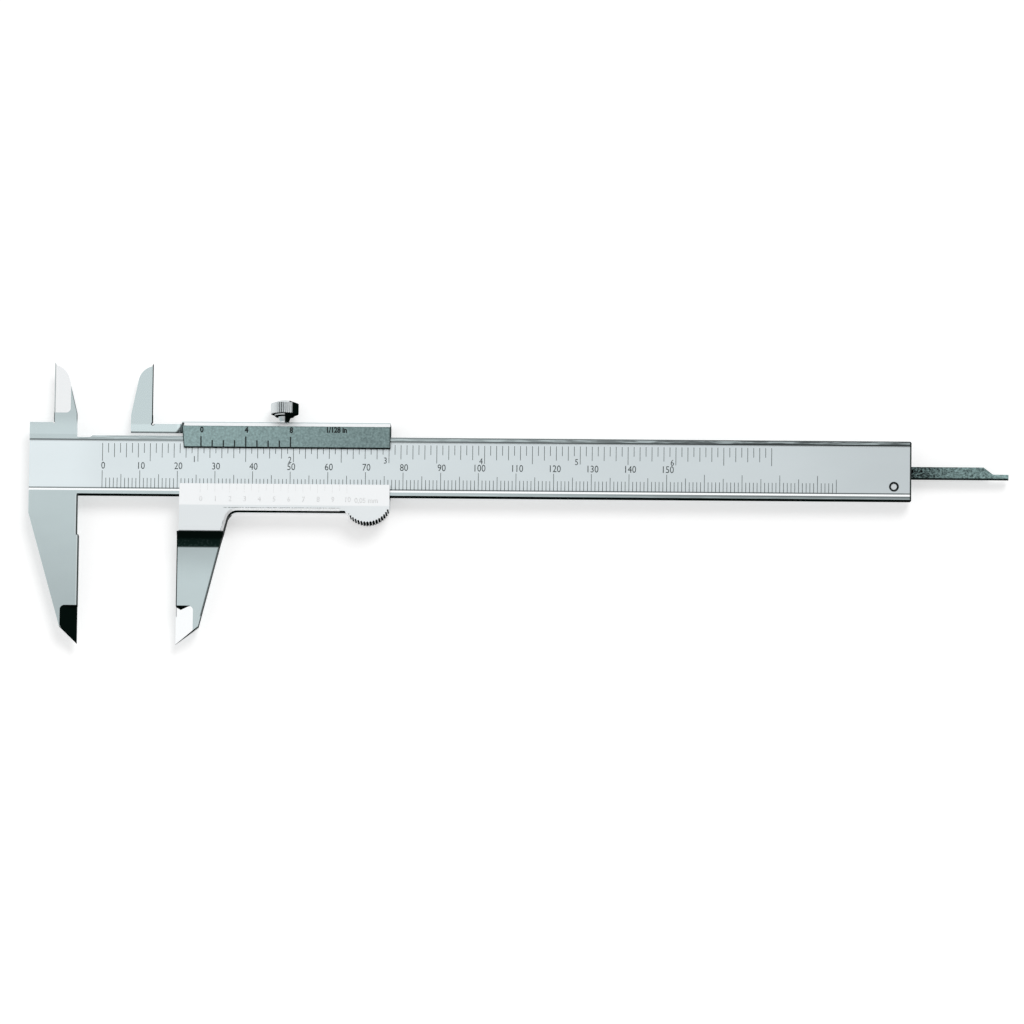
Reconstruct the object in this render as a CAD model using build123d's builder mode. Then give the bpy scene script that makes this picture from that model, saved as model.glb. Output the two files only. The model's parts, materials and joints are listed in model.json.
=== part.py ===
from build123d import *
from math import degrees, floor, hypot, radians, sqrt, tan
import os

# A 150 mm pocket vernier caliper with a depth rod, lying on its back with the scales up.
# X runs along the beam, Y across it towards the inside jaws, Z up out of the scale face.
# The origin is the centre of the outline, at the level of the surface that it lies on.
# Each sub-part is drawn from three datums: the fixed measuring plane, the beam's centre
# line and the beam's back. On the slider, x starts from the moving measuring plane
# instead. All sizes are in millimetres and all angles in degrees.

# ---- Opening and clearances ----------------------------------------------------------
OPENING = 26.2  # between the outside jaws in the modelled position
RUN = 0.05  # between the beam and the faces that slide on it
PIN_FIT = 0.02  # radial clearance of screws and rivets in their holes
BLADE_GAP = 0.06  # between the two inside blades as they pass each other

# ---- Beam ----------------------------------------------------------------------------
BEAM_REACH = 220.9  # from the fixed measuring plane to the free end
HEEL = 13.45  # from the fixed measuring plane back to the jaw's back edge
BEAM_HEIGHT = 15.8
BEAM_THICK = 3.5
RAIL_TOP = 0.95  # flat width of the raised rail beside the inch scale
RAIL_BOTTOM = 1.0  # flat width of the raised rail beside the millimetre scale
RAIL_SLOPE = 0.6  # width of the slope from a rail down to the scale face
SCALE_RECESS = 0.3  # the scale face lies this far below the rails
EDGE_BREAK = 0.15  # small chamfer on outer edges
END_BREAK = 0.35  # chamfer on the corners of the free end
GUIDE_RELIEF = 0.5  # undercut of the top guide edge beside the inside jaw
GUIDE_RELIEF_LENGTH = 4.1
GUIDE_RUNOUT = 0.9  # length of the curve at the undercut's end

# ---- Outside jaws --------------------------------------------------------------------
JAW_LENGTH = 40.05  # from the beam's lower edge to the tips
FIXED_TAPER = 16.0  # angle between the fixed jaw's back edge and its measuring face
FIXED_KNEE = 4.8  # jaw width where the back edge turns towards the tip
MOVING_TAPER = 13.9
MOVING_KNEE = 6.0
KNEE_HEIGHT = 4.75  # height of that turn above the tip
FACE_RELIEF = 0.5  # the jaws are set back by this above their measuring faces
FACE_START = 10.9  # the measuring faces begin this far below the beam
KNIFE_WIDTH = 4.6  # bevels that thin the jaws towards their measuring edges
KNIFE_LENGTH = 10.2
KNIFE_EDGE = 0.5  # thickness left at a jaw's measuring edge
KNIFE_CORNER = 1.2

# ---- Inside jaws ---------------------------------------------------------------------
INSIDE_EDGE = 7.05  # the blades' measuring edges lie this far behind the measuring planes
ARM_HEIGHT = 3.45  # height of the arms that carry the blades, above the beam
BLADE_HEIGHT = 16.35  # from the arm's top to the blade's tip
FIXED_ROOT = 6.2  # width of the fixed blade at its root
MOVING_ROOT = 5.8  # width of the moving blade at its root
BLADE_SHOULDER = 2.4  # a blade keeps its root width for this height
BLADE_NECK = 3.9  # width where the straight taper turns into the curved end
BLADE_NECK_HEIGHT = 11.9
POINT_WIDTH = 0.45  # width where the curved end turns into the point
POINT_HEIGHT = 0.85
BEVEL_START = 2.6  # the knife bevel begins this far above the arm
BEVEL_WIDTH = 4.4
BEVEL_EDGE = 0.4  # thickness left at a blade's measuring edge
EDGE_FACET = 0.25  # facet on the front of the moving blade's measuring edge
ROOT_HOLE = 0.3  # radius of the relief hole at a blade's root

# ---- Slider --------------------------------------------------------------------------
SLIDER_LENGTH = 56.35  # from the moving measuring plane to the slider's far end
TOP_WALL = 2.65
BOTTOM_WALL = 4.25
BACK_WALL = 1.95
LIP_THICK = 1.75  # front lips, where they are thickest
LIP_EDGE = 0.4  # thickness of the lips beside the scales
LIP_SETBACK = 0.85  # the upper half starts this far past the moving measuring plane
LIP_LEAN = 0.6  # and leans away by this much down to the upper lip's thin edge
UPPER_CLEAR = 4.75  # from the centre line to the upper lip's thin edge
LOWER_CLEAR = 4.9  # from the centre line to the lower lip's thin edge
LOWER_BEVEL = 5.95  # width of the lower lip's bevel
TOP_CHAMFER = 1.25
BOTTOM_CHAMFER = 0.6
BACK_CHAMFER = 0.5
STEP_DROP = 5.7  # the thick body ends this far below the slider's lower edge
STEP_RADIUS = 5.6  # hollow that runs from the thick body out to the thin jaw
THROAT_RADIUS = 3.0  # inside corner between the jaw and the slider's lower edge
ARM_RAMP = 1.6  # hollow that runs from the upper half down to the arm
THUMB_RADIUS = 6.5
THUMB_SETBACK = 6.0  # from the thumb rest's centre to the slider's far end
THUMB_RISE = 3.35  # the thumb rest's centre lies this far inside the lower edge
THUMB_BLEND = 0.8
TOOTH_PITCH = 0.81
TOOTH_DEPTH = 0.4
TEETH_LEFT = 49.0  # the teeth reach this far round to the left of the lowest point
TEETH_RIGHT = 61.0

# ---- Gib and its screws --------------------------------------------------------------
GIB_THICK = 1.0
GIB_WIDTH = 2.9
GIB_MARGIN = 1.6  # the gib stops this far inside the slider's ends
GIB_FREE = 0.05  # between the gib and the slider's top wall
GIB_SCREW_RADIUS = 1.0
GIB_SCREW_SPACING = 34.0
GIB_SCREW_SINK = 0.3
PILOT_RADIUS = 0.45
PILOT_DEPTH = 0.4
PILOT_FIT = 0.05
SLOT_WIDTH = 0.4
SLOT_DEPTH = 0.5

# ---- Lock screw ----------------------------------------------------------------------
LOCK_X = 28.05  # from the moving measuring plane
SHANK_RADIUS = 1.25
NECK = 1.8  # shank that shows above the slider
NECK_CONE = 1.2  # length over which the neck widens towards the collar
NECK_RADIUS = 1.7  # radius of the neck at the collar
COLLAR_RADIUS = 2.7
COLLAR_HEIGHT = 0.7
COLLAR_CHAMFER = 0.3
HEAD_RADIUS = 3.7
KNURL_LENGTH = 2.8
KNURL_PITCH = 0.58
KNURL_DEPTH = 0.22
CROWN_HEIGHT = 0.85  # cone on top of the knurled part
CROWN_RADIUS = 1.45  # radius of the flat on the cone

# ---- Depth rod -----------------------------------------------------------------------
ROD_HEIGHT = 3.2
ROD_THICK = 1.6
ROD_SINK = 0.1  # the rod's back lies this far inside the beam's back
ROD_DROP = 0.23  # the rod lies this far below the beam's centre line
ROD_SIDE_CLEAR = 0.1
ROD_FRONT_CLEAR = 0.1
ROD_START = 6.0  # the rod's anchored end, from the moving measuring plane
ROD_END_CLEAR = 1.0  # left in the groove when the jaws are closed
ROD_SETBACK = 0.45  # the rod ends this far inside the beam's end when the jaws are closed
NOSE_LENGTH = 4.1  # the narrow nose that reaches into corners
NOSE_HEIGHT = 1.3
NOSE_SLOPE = 2.5
NOSE_BLEND = 0.8  # radius between the slope and the nose
PAD_LENGTH = 13.0  # raised pad on the slider's back wall that carries the rod
RIVET_RADIUS = 0.8
RIVET_SPACING = 6.5
RIVET_SINK = 0.05  # the rivets end this far inside the faces around them

# ---- End plate -----------------------------------------------------------------------
PLATE_LENGTH = 8.0
PLATE_INSET = 0.6  # from the beam's free end
PLATE_HEIGHT = 13.4
PLATE_THICK = 0.9
PLATE_CORNER = 1.0
SCREW_SPACING = 8.45
SCREW_RADIUS = 1.0
SCREW_HEAD = 1.7
SCREW_SINK = 0.05  # the screws end this far inside the faces around them
SCREW_BREAK = 0.25  # chamfer on the screws' ends
BLIND_DEPTH = 2.4
DIMPLE = 0.3  # countersink around the lower screw's end in the scale face

# ---- Places worked out from the sizes ------------------------------------------------
BEYOND = 2.0  # how far a cut runs past the face that it opens
ROD_REACH = BEAM_REACH - ROD_SETBACK
ZERO_X = (HEEL - ROD_REACH - OPENING) / 2
MID_Y = (JAW_LENGTH - ARM_HEIGHT - BLADE_HEIGHT) / 2
BACK_Z = BACK_WALL + RUN
HALF = BEAM_HEIGHT / 2
TIP_Y = -HALF - JAW_LENGTH
KNEE_Y = TIP_Y + KNEE_HEIGHT
KNIFE_Y = TIP_Y + KNIFE_LENGTH
FACE_Y = -HALF - FACE_START
ARM_Y = HALF + ARM_HEIGHT
BEVEL_Y = ARM_Y + BEVEL_START
BLADE_Y = ARM_Y + BLADE_HEIGHT
MID_Z = BEAM_THICK / 2
SCALE_Z = BEAM_THICK - SCALE_RECESS
JAW_HALF = MID_Z - BLADE_GAP / 2  # thickness of an inside jaw
LIP_Z = BEAM_THICK + RUN
FRONT_Z = LIP_Z + LIP_THICK
GIB_Y = HALF + RUN
ROOF_Y = GIB_Y + GIB_THICK + GIB_FREE
TOP_Y = ROOF_Y + TOP_WALL
FLOOR_Y = -HALF - RUN
LOW_Y = FLOOR_Y - BOTTOM_WALL
STEP_Y = LOW_Y - STEP_DROP
THUMB_X = SLIDER_LENGTH - THUMB_SETBACK
THUMB_Y = LOW_Y + THUMB_RISE
CORNER_Y = THUMB_Y - sqrt(THUMB_RADIUS**2 - THUMB_SETBACK**2)  # its corner at the far end
MID_X = SLIDER_LENGTH / 2
GIB_SCREW_PLACES = (MID_X - GIB_SCREW_SPACING / 2, MID_X + GIB_SCREW_SPACING / 2)
GROOVE_START = ROD_START - ROD_END_CLEAR
GROOVE_DEPTH = ROD_SINK + ROD_THICK + ROD_FRONT_CLEAR
PAD_X = ROD_START + PAD_LENGTH / 2
RIVET_PLACES = (PAD_X - RIVET_SPACING / 2, PAD_X + RIVET_SPACING / 2)
PLATE_X = BEAM_REACH - PLATE_INSET - PLATE_LENGTH / 2


def beam_level(z, x=0.0, y=0.0):
    """Plane at height z above the beam's back, with x from the fixed measuring plane."""
    return Plane((ZERO_X + x, MID_Y + y, BACK_Z + z))


def slider_level(z, x=0.0, y=0.0):
    """Plane at height z above the beam's back, with x from the moving measuring plane."""
    return beam_level(z, OPENING + x, y)


def cross_section(level, x):
    """Plane across a level at x: its own X runs along Y, and its own Y along Z."""
    return Plane(level(0, x).origin, x_dir=(0, 1, 0), z_dir=(1, 0, 0))


def from_top(x, y):
    """Plane in the slider's top wall that faces along Y, at the beam's mid thickness."""
    return Plane(slider_level(MID_Z, x, y).origin, x_dir=(1, 0, 0), z_dir=(0, 1, 0))


def from_back(z, x, y):
    """Plane at height z that faces down, for the end plate's screws."""
    return Plane(beam_level(z, x, y).origin, x_dir=(1, 0, 0), z_dir=(0, 0, -1))


def jaw_width(y):
    """Width of the moving outside jaw at height y, from its measuring plane to its back."""
    return MOVING_KNEE + (y - KNEE_Y) * tan(radians(MOVING_TAPER))


def knife_bevel(level, edge_x, side, outward, edge_z, face_z, width, y_start, y_end):
    """Region to cut away for a knife bevel, drawn in the plane of the bevel itself.

    It falls from face_z, at width from the measuring edge, to edge_z at the edge.
    side is the way along X from the edge into the metal, outward the face's way along Z.
    """
    drop = abs(face_z - edge_z)
    length = hypot(width, drop)
    slant = Vector(side * width, 0, outward * drop)
    normal = Vector(-side * drop, 0, outward * width)
    middle = side * outward * (y_start + y_end) / 2
    with BuildSketch(Plane(level(edge_z, edge_x).origin, x_dir=slant, z_dir=normal)) as region:
        with Locations((length / 2 - BEYOND, middle)):
            RectangleRounded(length + 2 * BEYOND, y_end - y_start, KNIFE_CORNER)
    return region.sketch


def inside_jaw(level, side, root_width, arm_end, foot_y):
    """Outline of an inside jaw: an arm from its foot to its top, and the blade on it.

    side is the way along X from the measuring edge into the blade.
    """
    edge = -INSIDE_EDGE
    root = (edge + side * root_width, foot_y)
    shoulder = (edge + side * root_width, ARM_Y + BLADE_SHOULDER)
    neck = (edge + side * BLADE_NECK, ARM_Y + BLADE_NECK_HEIGHT)
    point = (edge + side * POINT_WIDTH, BLADE_Y - POINT_HEIGHT)
    taper = (neck[0] - shoulder[0], neck[1] - shoulder[1])
    with BuildSketch(level) as outline:
        with BuildLine():
            TangentArc(neck, point, tangent=taper)
            Polyline(point, (edge, BLADE_Y), (edge, ARM_Y), (arm_end, ARM_Y), (arm_end, foot_y))
            Polyline((arm_end, foot_y), root, shoulder, neck)
        make_face()
        with Locations((edge, ARM_Y)):
            Circle(ROOT_HOLE, mode=Mode.SUBTRACT)
    return outline.sketch


def half_section(plane, *points):
    """Half section of a turned piece: each point is a radius and a place along the normal."""
    upright = Plane(plane.origin, x_dir=plane.x_dir, z_dir=-plane.y_dir)
    with BuildSketch(upright) as profile:
        with BuildLine():
            Polyline(*points, close=True)
        make_face()
    return profile.sketch


def slot(plane, diameter):
    """Outline of a screwdriver slot across a screw's head."""
    with BuildSketch(plane) as outline:
        Rectangle(diameter, SLOT_WIDTH)
    return outline.sketch


def vee(depth, pitch):
    """Notch of a knurl or tooth, drawn across an edge whose outside is towards X."""
    return Polygon((-depth, 0), (depth, -pitch), (depth, pitch), align=None)


# ---- Beam with the fixed jaws --------------------------------------------------------
with BuildPart() as beam:
    with BuildSketch(beam_level(0)):
        with BuildLine():
            Polyline(
                (-HEEL, HALF),
                (BEAM_REACH, HALF),
                (BEAM_REACH, -HALF),
                (-FACE_RELIEF, -HALF),
                (-FACE_RELIEF, FACE_Y),
                (0, FACE_Y),
                (0, TIP_Y),
                (-FIXED_KNEE, KNEE_Y),
                (-HEEL, KNEE_Y + (HEEL - FIXED_KNEE) / tan(radians(FIXED_TAPER))),
                close=True,
            )
        make_face()
    extrude(amount=BEAM_THICK)
    chamfer(beam.edges().filter_by(Axis.Z).group_by(Axis.X)[-1], END_BREAK)
    chamfer(beam.edges().filter_by(Axis.Z, reverse=True), EDGE_BREAK)

    # The fixed inside jaw takes up the front half of the thickness.
    front_half = beam_level(BEAM_THICK - JAW_HALF)
    extrude(inside_jaw(front_half, 1, FIXED_ROOT, -HEEL, HALF - EDGE_BREAK), amount=JAW_HALF)

    # Scale face, sunk between the two rails.
    with BuildSketch(cross_section(beam_level, -HEEL - BEYOND)):
        with BuildLine():
            low = -HALF + RAIL_BOTTOM
            high = HALF - RAIL_TOP
            Polyline(
                (low, BEAM_THICK),
                (low + RAIL_SLOPE, SCALE_Z),
                (high - RAIL_SLOPE, SCALE_Z),
                (high, BEAM_THICK),
                (high, BEAM_THICK + BEYOND),
                (low, BEAM_THICK + BEYOND),
                close=True,
            )
        make_face()
    extrude(amount=HEEL + BEAM_REACH + 2 * BEYOND, mode=Mode.SUBTRACT)

    # Groove in the back for the depth rod, open at the free end.
    with BuildSketch(beam_level(0, GROOVE_START, -ROD_DROP)):
        groove_length = BEAM_REACH - GROOVE_START + BEYOND
        groove_height = ROD_HEIGHT + 2 * ROD_SIDE_CLEAR
        Rectangle(groove_length, groove_height, align=(Align.MIN, Align.CENTER))
    extrude(amount=GROOVE_DEPTH, mode=Mode.SUBTRACT)

    # Undercut of the top guide edge beside the inside jaw, with a curved run-out.
    with BuildSketch(beam_level(0, FIXED_ROOT - INSIDE_EDGE, HALF)):
        with BuildLine():
            runout = (GUIDE_RELIEF_LENGTH - GUIDE_RUNOUT, -GUIDE_RELIEF)
            TangentArc(runout, (GUIDE_RELIEF_LENGTH, 0), tangent=(1, 0))
            Polyline((GUIDE_RELIEF_LENGTH, 0), (0, 0), (0, -GUIDE_RELIEF), runout)
        make_face()
    extrude(amount=BEAM_THICK, mode=Mode.SUBTRACT)

    # Knife bevels on both sides of the outside jaw, and on the front of the inside jaw.
    for outward, face in ((1, BEAM_THICK), (-1, 0)):
        edge = MID_Z + outward * KNIFE_EDGE / 2
        bevel = knife_bevel(
            beam_level, 0, -1, outward, edge, face, KNIFE_WIDTH, TIP_Y - BEYOND, KNIFE_Y
        )
        extrude(bevel, amount=BEAM_THICK, mode=Mode.SUBTRACT)
    edge = BEAM_THICK - JAW_HALF + BEVEL_EDGE
    bevel = knife_bevel(
        beam_level, -INSIDE_EDGE, 1, 1, edge, BEAM_THICK, BEVEL_WIDTH, BEVEL_Y, BLADE_Y + BEYOND
    )
    extrude(bevel, amount=BEAM_THICK, mode=Mode.SUBTRACT)

    # Holes for the end plate's screws: one runs through to the scale face, one is blind.
    with Locations(beam_level(SCALE_Z, PLATE_X, -SCREW_SPACING / 2)):
        CounterSinkHole(SCREW_RADIUS + PIN_FIT, SCREW_RADIUS + DIMPLE, counter_sink_angle=90)
    with Locations(from_back(0, PLATE_X, SCREW_SPACING / 2)):
        Hole(SCREW_RADIUS + PIN_FIT, depth=BLIND_DEPTH)
beam.part.label = "beam"


# ---- End plate: keeps the depth rod in its groove and stops the slider ---------------
with BuildPart() as end_plate:
    with BuildSketch(beam_level(-PLATE_THICK, PLATE_X)):
        RectangleRounded(PLATE_LENGTH, PLATE_HEIGHT, PLATE_CORNER)
    extrude(amount=PLATE_THICK)
    chamfer(end_plate.edges().group_by(Axis.Z)[0], EDGE_BREAK)
    for offset in (-SCREW_SPACING / 2, SCREW_SPACING / 2):
        with Locations(from_back(-PLATE_THICK, PLATE_X, offset)):
            CounterSinkHole(SCREW_RADIUS + PIN_FIT, SCREW_HEAD + PIN_FIT, counter_sink_angle=90)
end_plate.part.label = "end_plate"


def countersunk_screw(offset, depth):
    """Half section and slot of an end plate screw that reaches depth into the beam."""
    head = from_back(-PLATE_THICK, PLATE_X, offset)
    end = -PLATE_THICK - depth + SCREW_SINK
    section = half_section(
        head,
        (0, -SCREW_SINK),
        (SCREW_HEAD - SCREW_SINK, -SCREW_SINK),
        (SCREW_RADIUS, SCREW_RADIUS - SCREW_HEAD),
        (SCREW_RADIUS, end + SCREW_BREAK),
        (SCREW_RADIUS - SCREW_BREAK, end),
        (0, end),
    )
    return head, section


with BuildPart() as end_plate_screw_lower:
    head, section = countersunk_screw(-SCREW_SPACING / 2, SCALE_Z)
    revolve(section, axis=Axis(head.origin, head.z_dir))
    extrude(slot(head, 2 * SCREW_HEAD), amount=-SLOT_DEPTH, mode=Mode.SUBTRACT)
end_plate_screw_lower.part.label = "end_plate_screw_lower"

with BuildPart() as end_plate_screw_upper:
    head, section = countersunk_screw(SCREW_SPACING / 2, BLIND_DEPTH)
    revolve(section, axis=Axis(head.origin, head.z_dir))
    extrude(slot(head, 2 * SCREW_HEAD), amount=-SLOT_DEPTH, mode=Mode.SUBTRACT)
end_plate_screw_upper.part.label = "end_plate_screw_upper"


def lower_rim(face):
    """Edges of the slider's front or back face from the jaw's knee along the lower edge."""
    start = ZERO_X + OPENING + MOVING_KNEE
    rim = face.edges().filter_by_position(Axis.Y, MID_Y + TIP_Y, MID_Y + FLOOR_Y)
    return rim.filter_by_position(Axis.X, start, start + SLIDER_LENGTH)


# ---- Slider with the moving jaws -----------------------------------------------------
with BuildPart() as slider:
    with BuildSketch(slider_level(-BACK_Z)) as outline:
        throat = (jaw_width(LOW_Y), LOW_Y)
        with BuildLine():
            Polyline(
                (THUMB_X, LOW_Y),
                (SLIDER_LENGTH, CORNER_Y),
                (SLIDER_LENGTH, TOP_Y),
                (LIP_SETBACK, TOP_Y),
                (LIP_SETBACK + LIP_LEAN, UPPER_CLEAR),
                (LIP_SETBACK + LIP_LEAN, 0),
                (FACE_RELIEF, 0),
                (FACE_RELIEF, STEP_Y),
                (0, STEP_Y),
                (0, TIP_Y),
                (MOVING_KNEE, KNEE_Y),
                throat,
                close=True,
            )
        make_face()
        fillet(outline.vertices().sort_by_distance(throat)[0], THROAT_RADIUS)
    extrude(amount=BACK_Z + FRONT_Z)

    # Front chamfers along the top edge and down the lower edge and the jaw's back.
    chamfer(lower_rim(slider.faces().sort_by(Axis.Z)[-1]), BOTTOM_CHAMFER)
    chamfer(slider.faces().sort_by(Axis.Z)[-1].edges().sort_by(Axis.Y)[-1], TOP_CHAMFER)

    # Thumb rest, a round that hangs below the lower edge and is cut off at the far end.
    with BuildSketch(slider_level(-BACK_Z)) as outline:
        thumb = (THUMB_X - sqrt(THUMB_RADIUS**2 - THUMB_RISE**2), LOW_Y)
        left = thumb[0] - 2 * THUMB_BLEND
        top = CORNER_Y + 2 * BOTTOM_CHAMFER
        with Locations((THUMB_X, THUMB_Y)):
            Circle(THUMB_RADIUS)
        with Locations((THUMB_X, top)):
            Rectangle(
                2 * THUMB_RADIUS,
                2 * THUMB_RADIUS,
                align=(Align.CENTER, Align.MIN),
                mode=Mode.SUBTRACT,
            )
        with Locations((SLIDER_LENGTH, THUMB_Y)):
            Rectangle(
                THUMB_RADIUS,
                2 * THUMB_RADIUS,
                align=(Align.MIN, Align.CENTER),
                mode=Mode.SUBTRACT,
            )
        with Locations((left, LOW_Y)):
            Rectangle(THUMB_X - left, top - LOW_Y, align=(Align.MIN, Align.MIN))
        fillet(outline.vertices().sort_by_distance(thumb)[0], THUMB_BLEND)
    extrude(amount=BACK_Z + FRONT_Z)
    chamfer(lower_rim(slider.faces().sort_by(Axis.Z)[0]), BACK_CHAMFER)
    chamfer(slider.faces().sort_by(Axis.Z)[0].edges().sort_by(Axis.Y)[-1], BACK_CHAMFER)

    # Teeth of the thumb rest.
    with BuildSketch(slider_level(-BACK_Z, THUMB_X, THUMB_Y)):
        sweep = TEETH_LEFT + TEETH_RIGHT
        teeth = floor(sweep / degrees(TOOTH_PITCH / THUMB_RADIUS)) + 1
        with PolarLocations(THUMB_RADIUS, teeth, -90 - TEETH_LEFT, sweep, endpoint=True):
            vee(TOOTH_DEPTH, TOOTH_PITCH)
    extrude(amount=BACK_Z + FRONT_Z, mode=Mode.SUBTRACT)

    # Channel for the beam and the gib, and the window with its two bevelled lips.
    with BuildSketch(cross_section(slider_level, -BEYOND)):
        with BuildLine():
            Polyline(
                (FLOOR_Y, -RUN),
                (ROOF_Y, -RUN),
                (ROOF_Y, LIP_Z),
                (UPPER_CLEAR, LIP_Z),
                (UPPER_CLEAR, LIP_Z + LIP_EDGE),
                (TOP_Y - TOP_CHAMFER, FRONT_Z),
                (TOP_Y - TOP_CHAMFER, FRONT_Z + BEYOND),
                (-LOWER_CLEAR - LOWER_BEVEL, FRONT_Z + BEYOND),
                (-LOWER_CLEAR - LOWER_BEVEL, FRONT_Z),
                (-LOWER_CLEAR, LIP_Z + LIP_EDGE),
                (-LOWER_CLEAR, LIP_Z),
                (FLOOR_Y, LIP_Z),
                close=True,
            )
        make_face()
    extrude(amount=SLIDER_LENGTH + 2 * BEYOND, mode=Mode.SUBTRACT)

    # The outside jaw is thinned to the beam's thickness below a hollow step, front and back.
    for outward, face, body in ((1, BEAM_THICK, FRONT_Z), (-1, 0, -BACK_Z)):
        rise = abs(body - face)
        foot_y = STEP_Y - sqrt(STEP_RADIUS**2 - (STEP_RADIUS - rise) ** 2)
        clear = body + outward * BEYOND
        with BuildSketch(cross_section(slider_level, -BEYOND)):
            with BuildLine():
                TangentArc((foot_y, face), (STEP_Y, body), tangent=(1, 0))
                Polyline(
                    (STEP_Y, body),
                    (STEP_Y, clear),
                    (TIP_Y - BEYOND, clear),
                    (TIP_Y - BEYOND, face),
                    (foot_y, face),
                )
            make_face()
        extrude(amount=jaw_width(STEP_Y) + 2 * BEYOND, mode=Mode.SUBTRACT)

    # The moving inside jaw takes up the back half of the thickness.
    arm_end = LIP_SETBACK + BEYOND
    extrude(inside_jaw(slider_level(0), -1, MOVING_ROOT, arm_end, ROOF_Y), amount=JAW_HALF)
    for outward, face in ((1, JAW_HALF), (-1, 0)):
        wall = Plane(slider_level(face, LIP_SETBACK, ARM_Y).origin, x_dir=(1, 0, 0), z_dir=(0, -1, 0))
        with BuildSketch(wall):
            with BuildLine():
                TangentArc((-ARM_RAMP, 0), (0, outward * ARM_RAMP), tangent=(1, 0))
                Polyline(
                    (0, outward * ARM_RAMP),
                    (LIP_LEAN, outward * ARM_RAMP),
                    (LIP_LEAN, 0),
                    (-ARM_RAMP, 0),
                )
            make_face()
        extrude(amount=ARM_Y - ROOF_Y)

    # Knife bevels on both sides of the outside jaw, and on the back of the inside jaw.
    for outward, face in ((1, BEAM_THICK), (-1, 0)):
        edge = MID_Z + outward * KNIFE_EDGE / 2
        bevel = knife_bevel(
            slider_level, 0, 1, outward, edge, face, KNIFE_WIDTH, TIP_Y - BEYOND, KNIFE_Y
        )
        extrude(bevel, amount=BEAM_THICK, mode=Mode.SUBTRACT)
    edge = JAW_HALF - BEVEL_EDGE
    bevel = knife_bevel(
        slider_level, -INSIDE_EDGE, -1, -1, edge, 0, BEVEL_WIDTH, BEVEL_Y, BLADE_Y + BEYOND
    )
    extrude(bevel, amount=BEAM_THICK, mode=Mode.SUBTRACT)
    facet_start = slider_level(JAW_HALF, -INSIDE_EDGE, ARM_Y + ROOT_HOLE).origin
    with BuildSketch(Plane(facet_start, x_dir=(1, 0, 0), z_dir=(0, -1, 0))):
        with Locations(Rotation(0, 0, 45)):
            Rectangle(sqrt(2) * EDGE_FACET, sqrt(2) * EDGE_FACET)
    extrude(amount=ARM_Y + ROOT_HOLE - BLADE_Y - BEYOND, mode=Mode.SUBTRACT)

    # Pad that carries the depth rod, with the holes for its rivets.
    with BuildSketch(slider_level(-RUN, PAD_X, -ROD_DROP)):
        Rectangle(PAD_LENGTH, ROD_HEIGHT)
    extrude(amount=RUN + ROD_SINK)
    for place in RIVET_PLACES:
        with Locations(slider_level(ROD_SINK, place, -ROD_DROP)):
            Hole(RIVET_RADIUS + PIN_FIT, depth=BACK_Z + BEYOND)

    # Holes in the top wall for the gib screws and the lock screw.
    for place in GIB_SCREW_PLACES:
        with Locations(from_top(place, TOP_Y)):
            Hole(GIB_SCREW_RADIUS + PIN_FIT, depth=TOP_WALL + GIB_THICK)
    with Locations(from_top(LOCK_X, TOP_Y)):
        Hole(SHANK_RADIUS + PIN_FIT, depth=TOP_WALL + GIB_THICK)
slider.part.label = "slider"


# ---- Gib strip: takes up the play between the beam and the slider's top wall ----------
with BuildPart() as gib_strip:
    with BuildSketch(from_top(MID_X, GIB_Y)):
        Rectangle(SLIDER_LENGTH - 2 * GIB_MARGIN, GIB_WIDTH)
    extrude(amount=GIB_THICK)
    for place in GIB_SCREW_PLACES:
        with Locations(from_top(place, GIB_Y + GIB_THICK)):
            Hole(PILOT_RADIUS + PILOT_FIT, depth=PILOT_DEPTH)
gib_strip.part.label = "gib_strip"


def gib_screw_section(place):
    """Plane at a gib screw's head, and the screw's half section down into the gib."""
    head = from_top(place, TOP_Y - GIB_SCREW_SINK)
    seat = GIB_SCREW_SINK - TOP_WALL - GIB_FREE
    section = half_section(
        head,
        (0, 0),
        (GIB_SCREW_RADIUS, 0),
        (GIB_SCREW_RADIUS, seat),
        (PILOT_RADIUS, seat),
        (PILOT_RADIUS, seat - PILOT_DEPTH + PILOT_FIT),
        (0, seat - PILOT_DEPTH + PILOT_FIT),
    )
    return head, section


with BuildPart() as gib_screw_left:
    head, section = gib_screw_section(GIB_SCREW_PLACES[0])
    revolve(section, axis=Axis(head.origin, head.z_dir))
    extrude(slot(head, 2 * GIB_SCREW_RADIUS), amount=-SLOT_DEPTH, mode=Mode.SUBTRACT)
gib_screw_left.part.label = "gib_screw_left"

with BuildPart() as gib_screw_right:
    head, section = gib_screw_section(GIB_SCREW_PLACES[1])
    revolve(section, axis=Axis(head.origin, head.z_dir))
    extrude(slot(head, 2 * GIB_SCREW_RADIUS), amount=-SLOT_DEPTH, mode=Mode.SUBTRACT)
gib_screw_right.part.label = "gib_screw_right"


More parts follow.
